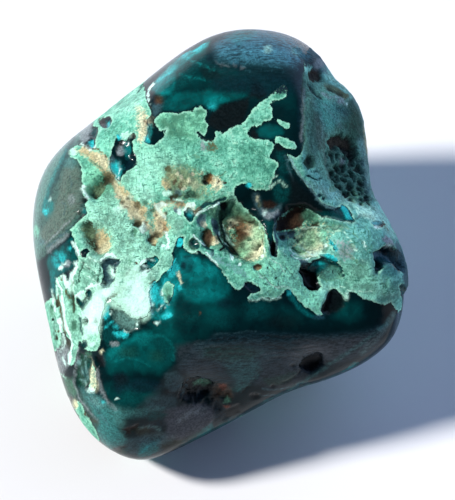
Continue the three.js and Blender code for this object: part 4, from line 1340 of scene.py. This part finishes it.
dab("blueBlack", .6, 1.2, 0, 216,225, 3,3)
print("show side drawn")

# The other sides carry the same stone in a pattern of their own. Two numbers are the
# values between which something begins and is full.
otherSides = {
    "crustShare": 0.02,               # more crust above 0
    "crustSlope": 2.6,                # mm
    "smallCrustSlope": 0.45,
    "deepest": 1.5,
    "bareRim": 1.6,                   # no crust at the front rim
    "bareTowardsFront": (-3, -7),     # mm along Y
    "bareBehindLimb": (-6, -1.5),
    "insideLightMiddle": 0.24,
    "insideLightSwing": 0.55,
    "insideLightLimits": (0.05, 0.9),
    "veil": (0.0, 0.5),
    "veilStrength": 0.6,
    "scuffAndReflectionStrength": 0.12,
    "grit": (0.2, 0.6),
    "gritStrength": 0.6,
    "comb": (0.22, 0.4),
    "combOnCrust": (0.2, 0.5),        # mm inside the crust
    "pigmentOnCrust": (0.1, 0.5),
}
farTones = [        # pigment, noise, from, to, strength
    ("leafMint", "farLeafMint", 0.0, 0.6, 0.5),
    ("blueMint", "farBlueMint", 0.1, 0.7, 0.6),
    ("paleMint", "farPaleMint", 0.1, 0.7, 0.5),
]
farPigments = [
    ("ochre", "farOchre", 0.3, 0.6, 0.8),
    ("cream", "farCream", 0.35, 0.6, 0.6),
]


def withFar(shown, far):
    return shown * (1 - farSide) + far * farSide


deepest = otherSides["deepest"]
patches = (grain("farCrust") + otherSides["crustShare"]) * otherSides["crustSlope"]
patches += grain("farSmallCrust") * otherSides["smallCrustSlope"]
patches -= (otherSides["bareRim"] * smooth(*otherSides["bareTowardsFront"], points[:, 1])
            * smooth(*otherSides["bareBehindLimb"], fromLimb))
crust = withFar(np.clip(crust, -deepest, deepest), np.clip(patches, -deepest, deepest))
# painted inner light of the dioptase on the other sides, varied by noise
farInsideLight = otherSides["insideLightMiddle"] + grain("farInsideLight") * otherSides["insideLightSwing"]
insideLight = withFar(insideLight, np.clip(farInsideLight, *otherSides["insideLightLimits"]))
farVeil = smooth(*otherSides["veil"], grain("farVeil"))
veil = withFar(veil, farVeil * otherSides["veilStrength"])
scuffAndReflection = withFar(scuffAndReflection, otherSides["scuffAndReflectionStrength"])
farGrit = smooth(*otherSides["grit"], grain("farGrit"))
grit = withFar(grit, farGrit * otherSides["gritStrength"])
farComb = smooth(*otherSides["comb"], grain("farComb"))
comb = withFar(paintLayer(combMarks), farComb * smooth(*otherSides["combOnCrust"], crust))

tone *= (1 - farSide)[:, None]
pigment *= (1 - farSide)[:, None]
for colour, name, begins, full, strength in farTones:
    putOn(tone, colour, smooth(begins, full, grain(name)) * strength * farSide)
deepCrust = smooth(*otherSides["pigmentOnCrust"], crust)
for colour, name, begins, full, strength in farPigments:
    putOn(pigment, colour, smooth(begins, full, grain(name)) * deepCrust * strength * farSide)

# Relief, cut inwards along the skin's normals.
sink += stoneShape["windowDepth"] * smooth(0, stoneShape["windowSlope"], window) * (1 - farSide)
sink -= (stoneShape["crustRelief"] * grain("crustRelief")
         * smooth(0, stoneShape["crustSlope"], crust))
sink += stoneShape["gritRelief"] * grit * (grain("gritRelief") + stoneShape["gritSink"])

# Honeycomb: irregular cells with thin walls between them. The cells are darkened black: painted
# shade deep in them.
bend = np.stack([grain("combX"), grain("combY"), grain("combZ")], 1) * stoneShape["combBend"]
walls = np.zeros(count)
for index in np.flatnonzero(comb > stoneShape["combLeast"]):
    inCells = Vector(points[index] + bend[index]) / stoneShape["combCell"]
    nearest, second = noise.voronoi(inCells)[0][:2]
    walls[index] = second - nearest
hollow = smooth(*stoneShape["combWall"], walls) * comb
sink += hollow * stoneShape["combDepth"]
putOn(pigment, "black", hollow * stoneShape["combDark"])

chance = np.random.default_rng(farPits["seed"])
seats = np.flatnonzero((farSide > farPits["farEnough"]) & (crust > farPits["insideCrust"])
                       & (points[:, 2] > farPits["lowest"]))
for seat in chance.choice(seats, farPits["number"], replace=False):
    radius = chance.uniform(*farPits["radius"])
    away = np.linalg.norm(points - points[seat], axis=1)
    away += grain("farPits", radius) * farPits["uneven"]
    hollow = smooth(radius, radius * farPits["floor"], away)
    sink += hollow * radius * farPits["depth"]
    # painted shade: each pit is darkened inside
    putOn(pigment, "darkOlive", hollow * farPits["dark"])

foot = smooth(0.0, stoneShape["footHeight"], points[:, 2])
points -= normals * (sink * foot)[:, None]
lowest, highest = (np.array(corner) * perMetre for corner in cadBox)
points = np.clip(points, lowest + stoneShape["boxMargin"], highest - stoneShape["boxMargin"])
stone.data.vertices.foreach_set("co", (points / perMetre).astype(np.float32).ravel())
stone.data.update()
print("relief cut")


def keepLayer(name, kind, field, layer):
    attribute = stone.data.attributes.new(name, kind, "POINT")
    attribute.data.foreach_set(field, layer.astype(np.float32).ravel())


for name, layer in {"crust": crust, "insideLight": insideLight, "veil": veil, "scuffAndReflection": scuffAndReflection,
                    "grit": grit}.items():
    keepLayer(name, "FLOAT", "value", layer)
leastCover = 1e-4
for name, layer in {"tone": tone, "pigment": pigment}.items():
    layer[:, :3] /= np.clip(layer[:, 3:], leastCover, 1)      # the colour at full strength
    keepLayer(name, "FLOAT_COLOR", "color", layer)


stoneFinish = {
    "raggedEdge": 0.34,        # mm, how uneven the crust's border is
    "fineRaggedEdge": 0.16,
    "crustDark": (0.028, 0.170, 0.115),
    "crustMid": (0.095, 0.380, 0.260),
    "crustLight": (0.180, 0.560, 0.400),
    "crustPale": (0.370, 0.760, 0.560),
    "speck": (0.010, 0.070, 0.050),
    "dirt": (0.032, 0.080, 0.048),
    "crumbs": (0.46, 0.54, 0.32),
    "veilColour": (0.060, 0.145, 0.120),
    # painted reflection: the blue-grey of the bright room seen in scuffed glass
    "scuffReflectionColour": (0.019, 0.052, 0.066),
    "streakColour": (0.003, 0.010, 0.013),
    "glassRoughness": 0.13,
    "scratchRoughness": 0.14,  # added by scratches
    "crustRoughness": 0.5,
    "pigmentRoughness": 0.7,
    "ior": 1.2,
    "crumbling": 1.7,          # how uneven the border of a pigment is on the crust
    "warp": (0.8, 0.8, 0.8),   # mm, bends the facets inside the dioptase
    "warpScale": 1.4,
    "bigFacets": 0.75,         # facets to the millimetre
    "smallFacets": 2.4,
    "cloudMiddle": 0.38,
    "insideLightGain": 0.58,
    "crustLift": 0.3,          # how high the crust stands, beside its noises
    "bumpStrength": 0.9,
    "bumpDepth": 0.00007,      # m
}
crustStops = [(0.41, "crustDark"), (0.475, "crustMid"), (0.54, "crustLight"), (0.62, "crustPale")]
# painted light: from the glass's own dark teal up through brighter teal to cyan glints as the
# inner light rises
glassShades = [
    (0.00, (0.0006, 0.0050, 0.0065)),
    (0.08, (0.0006, 0.0130, 0.0155)),
    (0.22, (0.0008, 0.0500, 0.0490)),
    (0.36, (0.0012, 0.1050, 0.1030)),
    (0.54, (0.0030, 0.2300, 0.2260)),
    (0.72, (0.0150, 0.4200, 0.4300)),
    (1.00, (0.2000, 0.7600, 0.8000)),
]
# noises in the finish: features to the millimetre, detail, roughness, distortion
evenNoises = {
    "coarse": (2.6, 3, 0.55, 0),
    "fine": (8.0, 2, 0.55, 0),
    "veryFine": (17.0, 2, 0.55, 0),
    "broad": (0.5, 3, 0.55, 0),
    "tone": (1.4, 4, 0.6, 0),
    "mottle": (3.6, 4, 0.68, 0.7),
    "cloud": (1.0, 5, 0.6, 0),
}
# stretched noises: turn in degrees, features to the millimetre, detail, roughness
turnedNoises = {
    "hatchOne": ((20, 0, 12), (7, 2.0, 7), 3, 0.6),
    "hatchTwo": ((-15, 30, -50), (2.0, 7, 7), 3, 0.6),
    "crumbs": ((40, 20, 0), (5.5, 5.5, 5.5), 2, 0.55),
    "streak": ((0, 0, 8), (0.9, 6, 6), 4, 0.65),
    "scratch": ((0, 0, 6), (0.7, 12, 12), 3, 0.7),
}
noiseMiddle = 0.5      # these noises run from 0 to 1
seams = ((0, 0, 25), (0.55, 0.55, 0.55))      # the crust's cracks: turn, cells to the millimetre
# how much of each pattern goes into a mixture
shares = {
    "crustShade": {"tone": 0.35, "broad": 0.30, "mottle": 0.35},
    "facet": {"smallFacet": 0.3, "bigFacet": 0.45, "clearing": 1.5},
    "crumble": {"fine": 0.45, "mottle": 0.55},
    "crustHeight": {"fine": 0.4, "veryFine": 0.15, "mottle": 1.0, "tone": 1.8},
    "height": {"scuffing": 0.4, "rubble": 1.8, "pigment": -0.25},
}
# where something begins and is full, and its strength at those two places
limits = {
    "onCrust": (-0.025, 0.03),
    "toneShade": (0.42, 0.58, 0.55, 1.3),
    "patchy": (0.42, 0.58, 0.25, 1),
    "hatch": (0.54, 0.64, 0, 0.8),
    "speck": (0.62, 0.70, 0, 0.6),
    "paleSpots": (0.57, 0.70, 0, 0.5),
    "seams": (0.035, 0.0, 0, 0.3),
    "dirt": (0.50, 0.60, 0, 0.75),
    "crumbsOnGrit": (0.4, 0.9),
    "crumbs": (0.53, 0.62, 0, 0.85),
    "rim": (0.22, 0.06),
    "rimPatchy": (0.35, 0.6, 0.2, 0.7),
    "gain": (0.0, 1.1, 0.6, 1.35, "LINEAR"),
    "veil": (0.34, 0.58, 0.25, 1),
    "scuffAndReflection": (0.42, 0.6, 0.3, 1),
    "crumbled": (0.15, 0.62),
    "palePigment": (0.55, 0.85),
    "strongShade": (0.38, 0.62, 0.55, 1.3),
    "gentleShade": (0.38, 0.62, 0.86, 1.12),
    "darkStreaks": (0.50, 0.42, 0, 0.85),
    "scratches": (0.4, 0.65),
}


def addNode(kind, **settings):
    made = tree.nodes.new(kind)
    for key, value in settings.items():
        setattr(made, key, value)
    return made


def feed(socket, value):
    if isinstance(value, bpy.types.NodeSocket):
        tree.links.new(value, socket)
    elif isinstance(value, tuple) and len(value) == 3 and socket.type == "RGBA":
        socket.default_value = (*value, 1)
    else:
        socket.default_value = value


def feedAll(made, values):
    for key, value in values.items():
        feed(made.inputs[key], value)
    return made


def sums(operation, *values):
    made = addNode("ShaderNodeMath", operation=operation)
    return feedAll(made, dict(enumerate(values))).outputs[0]


def times(a, b):
    return sums("MULTIPLY", a, b)


def less(a, b):
    return sums("SUBTRACT", a, b)


# a share of the first, on top of the last
def onTop(a, share, ground):
    return sums("MULTIPLY_ADD", a, share, ground)


def mixColour(factor, a, b):
    made = addNode("ShaderNodeMix", data_type="RGBA")
    return feedAll(made, {0: factor, 6: a, 7: b}).outputs[2]


def mixValue(factor, a, b):
    made = addNode("ShaderNodeMix", data_type="FLOAT")
    return feedAll(made, {0: factor, 2: a, 3: b}).outputs[0]


def rangeOf(value, low, high, toLow=0.0, toHigh=1.0, easing="SMOOTHSTEP"):
    made = addNode("ShaderNodeMapRange", interpolation_type=easing)
    return feedAll(made, dict(enumerate((value, low, high, toLow, toHigh)))).outputs[0]


def within(value, name):
    return rangeOf(value, *limits[name])


def mixture(name, ground=None):
    for part, share in shares[name].items():
        layer = seen[part]
        ground = times(layer, share) if ground is None else onTop(layer, share, ground)
    return ground


def scaled(colour, factor):
    made = addNode("ShaderNodeVectorMath", operation="SCALE")
    return feedAll(made, {0: colour, "Scale": factor}).outputs[0]


def ramp(value, stops):
    made = feedAll(addNode("ShaderNodeValToRGB"), {0: value})
    band = made.color_ramp
    while len(band.elements) < len(stops):
        band.elements.new(1)
    for element, (place, colour) in zip(band.elements, stops):
        element.position = place
        element.color = (*colour, 1)
    return made.outputs[0]


def turned(coords, turn, stretch):
    made = feedAll(addNode("ShaderNodeMapping"), {"Vector": coords})
    made.inputs["Rotation"].default_value = [math.radians(a) for a in turn]
    made.inputs["Scale"].default_value = stretch
    return made.outputs[0]


def speckle(name):
    if name in turnedNoises:
        turn, stretch, detail, rough = turnedNoises[name]
        coords, scale, distortion = turned(inMm, turn, stretch), 1, 0
    else:
        coords = inMm
        scale, detail, rough, distortion = evenNoises[name]
    return feedAll(addNode("ShaderNodeTexNoise"), {
        "Vector": coords, "Scale": scale, "Detail": detail, "Roughness": rough,
        "Distortion": distortion}).outputs[0]


def cells(coords, scale, feature="F1"):
    made = addNode("ShaderNodeTexVoronoi", feature=feature)
    return feedAll(made, {"Vector": coords, "Scale": scale}).outputs


def layerOf(name, output="Fac"):
    return addNode("ShaderNodeAttribute", attribute_name=name).outputs[output]


def split(colour):
    return feedAll(addNode("ShaderNodeSeparateColor"), {0: colour}).outputs


finish = bpy.data.materials.new("dioptase_in_crust")
finish.use_nodes = True
tree = finish.node_tree      # the tree that the functions above work on
tree.nodes.clear()
look = stoneFinish

inMm = turned(addNode("ShaderNodeTexCoord").outputs["Object"], (0, 0, 0), (perMetre,) * 3)
seen = {name: speckle(name) for name in (*evenNoises, *turnedNoises)}
seen.update({name: layerOf(name) for name in ("scuffAndReflection", "grit")})
border = onTop(less(seen["coarse"], noiseMiddle), look["raggedEdge"], layerOf("crust"))
border = onTop(less(seen["fine"], noiseMiddle), look["fineRaggedEdge"], border)
onCrust = within(border, "onCrust")

# crust
shade = mixture("crustShade")
crustColour = ramp(shade, [(place, look[name]) for place, name in crustStops])
broadTone = scaled(layerOf("tone", "Color"), within(shade, "toneShade"))
crustColour = mixColour(layerOf("tone", "Alpha"), crustColour, broadTone)
patchy = within(seen["tone"], "patchy")
seam = cells(turned(inMm, *seams), 1, "DISTANCE_TO_EDGE")["Distance"]
crumbs = times(within(seen["grit"], "crumbsOnGrit"), within(seen["crumbs"], "crumbs"))
for amount, name in (
        (times(within(seen["hatchOne"], "hatch"), patchy), "crustDark"),
        (times(within(seen["hatchTwo"], "hatch"), patchy), "crustDark"),
        (within(seen["fine"], "speck"), "speck"),
        (within(seen["mottle"], "paleSpots"), "crustPale"),
        (times(within(seam, "seams"), patchy), "crustDark"),
        (times(seen["grit"], within(seen["fine"], "dirt")), "dirt"),
        (crumbs, "crumbs"),
        (times(within(border, "rim"), within(seen["coarse"], "rimPatchy")), "crustPale")):
    crustColour = mixColour(amount, crustColour, look[name])

# dioptase: its own dark teal, lifted towards bright cyan by facet cells and the inner-light layer,
# painted light from inner faces and glints
softNoise = feedAll(addNode("ShaderNodeTexNoise"), {"Vector": inMm, "Scale": look["warpScale"]})
warped = feedAll(addNode("ShaderNodeVectorMath", operation="MULTIPLY_ADD"), {
    0: softNoise.outputs["Color"], 1: look["warp"], 2: inMm}).outputs[0]
seen["bigFacet"] = split(cells(warped, look["bigFacets"])["Color"])[0]
seen["smallFacet"] = split(cells(warped, look["smallFacets"])["Color"])[1]
seen["clearing"] = less(seen["cloud"], look["cloudMiddle"])
gain = within(mixture("facet"), "gain")
glassColour = ramp(times(times(layerOf("insideLight"), gain), look["insideLightGain"]), glassShades)
for amount, name in (
        (times(layerOf("veil"), within(seen["streak"], "veil")), "veilColour"),
        (times(seen["scuffAndReflection"], within(seen["scratch"], "scuffAndReflection")), "scuffReflectionColour")):
    glassColour = mixColour(amount, glassColour, look[name])

# pigment over both, and dark streaks over all
colour = mixColour(onCrust, glassColour, crustColour)
painted, paint = layerOf("pigment", "Alpha"), layerOf("pigment", "Color")
crumble = mixture("crumble")
crumbled = onTop(less(crumble, noiseMiddle), look["crumbling"], painted)
hidden = mixValue(onCrust, painted, within(crumbled, "crumbled"))
pale = within(split(paint)[1], "palePigment")
grainShade = mixValue(pale, within(crumble, "strongShade"), within(crumble, "gentleShade"))
colour = mixColour(hidden, colour, scaled(paint, grainShade))
darkStreaks = times(seen["scuffAndReflection"], within(seen["streak"], "darkStreaks"))
colour = mixColour(darkStreaks, colour, look["streakColour"])

seen["pigment"] = times(hidden, onCrust)
gloss = onTop(within(seen["scratch"], "scratches"), look["scratchRoughness"],
              look["glassRoughness"])
roughness = mixValue(onCrust, gloss, look["crustRoughness"])
roughness = mixValue(seen["pigment"], roughness, look["pigmentRoughness"])

seen["scuffing"] = times(seen["scuffAndReflection"], seen["scratch"])
seen["rubble"] = times(seen["grit"], seen["coarse"])
height = times(sums("ADD", mixture("crustHeight"), look["crustLift"]), onCrust)
bump = feedAll(addNode("ShaderNodeBump"), {
    "Strength": look["bumpStrength"], "Distance": look["bumpDepth"],
    "Height": mixture("height", height)})

shader = feedAll(addNode("ShaderNodeBsdfPrincipled"), {
    "Base Color": colour, "Roughness": roughness, "Normal": bump.outputs[0], "IOR": look["ior"]})
feedAll(addNode("ShaderNodeOutputMaterial"), {"Surface": shader.outputs[0]})
stone.data.materials.clear()
stone.data.materials.append(finish)
print("finish made")

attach(stone, "root")
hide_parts("dioptase_stone")

setting = {
    "floorSize": 1.2,                         # m
    "floorColour": (0.84, 0.83, 0.84),
    "floorRoughness": 0.9,
    "floorSpecular": 0.1,
    "keyTowards": (-0.743, 0.0, 0.669),       # the key light comes from the left
    "keyEnergy": 4.9,
    "keyAngle": 8.0,                          # degrees, softens the shadow's edge
    "keyColour": (1.0, 0.985, 0.96),
    "roomColour": (0.45, 0.60, 0.96),
    "brightTowards": (0.65, 0.75),            # across and back
    "brightFade": (0.15, 0.85),
    "overheadFade": (0.9, 0.45),
    "brightStrength": 2.45,
    "dimStrength": 0.09,
}
bpy.ops.object.select_all(action="DESELECT")
bpy.ops.mesh.primitive_plane_add(size=setting["floorSize"])
floor = bpy.context.object
floor.name = "floor"
floorFinish = bpy.data.materials.new("pale_floor")
floorFinish.use_nodes = True
floorShader = floorFinish.node_tree.nodes["Principled BSDF"]
floorShader.inputs["Base Color"].default_value = (*setting["floorColour"], 1)
floorShader.inputs["Roughness"].default_value = setting["floorRoughness"]
floorShader.inputs["Specular IOR Level"].default_value = setting["floorSpecular"]
floor.data.materials.append(floorFinish)

key = bpy.data.lights.new("key_light", "SUN")
key.energy = setting["keyEnergy"]
key.angle = math.radians(setting["keyAngle"])
key.color = setting["keyColour"]
keyLight = bpy.data.objects.new("key_light", key)
keyLight.rotation_euler = Vector(setting["keyTowards"]).to_track_quat("Z", "Y").to_euler()
bpy.context.collection.objects.link(keyLight)

# The room is bright low behind and to the right, and dark overhead and in front.
room = bpy.data.worlds.new("room")
room.use_nodes = True
bpy.context.scene.world = room
tree = room.node_tree
direction = addNode("ShaderNodeSeparateXYZ")
feed(direction.inputs[0], addNode("ShaderNodeTexCoord").outputs["Generated"])
across, back = setting["brightTowards"]
side = onTop(direction.outputs["X"], across, times(direction.outputs["Y"], back))
side = rangeOf(side, *setting["brightFade"])
low = rangeOf(direction.outputs["Z"], *setting["overheadFade"])
strength = onTop(times(side, low), setting["brightStrength"], setting["dimStrength"])
backdrop = tree.nodes["Background"]
feedAll(backdrop, {"Color": setting["roomColour"], "Strength": strength})
bpy.context.scene.view_settings.view_transform = "Standard"
print("floor and light set")
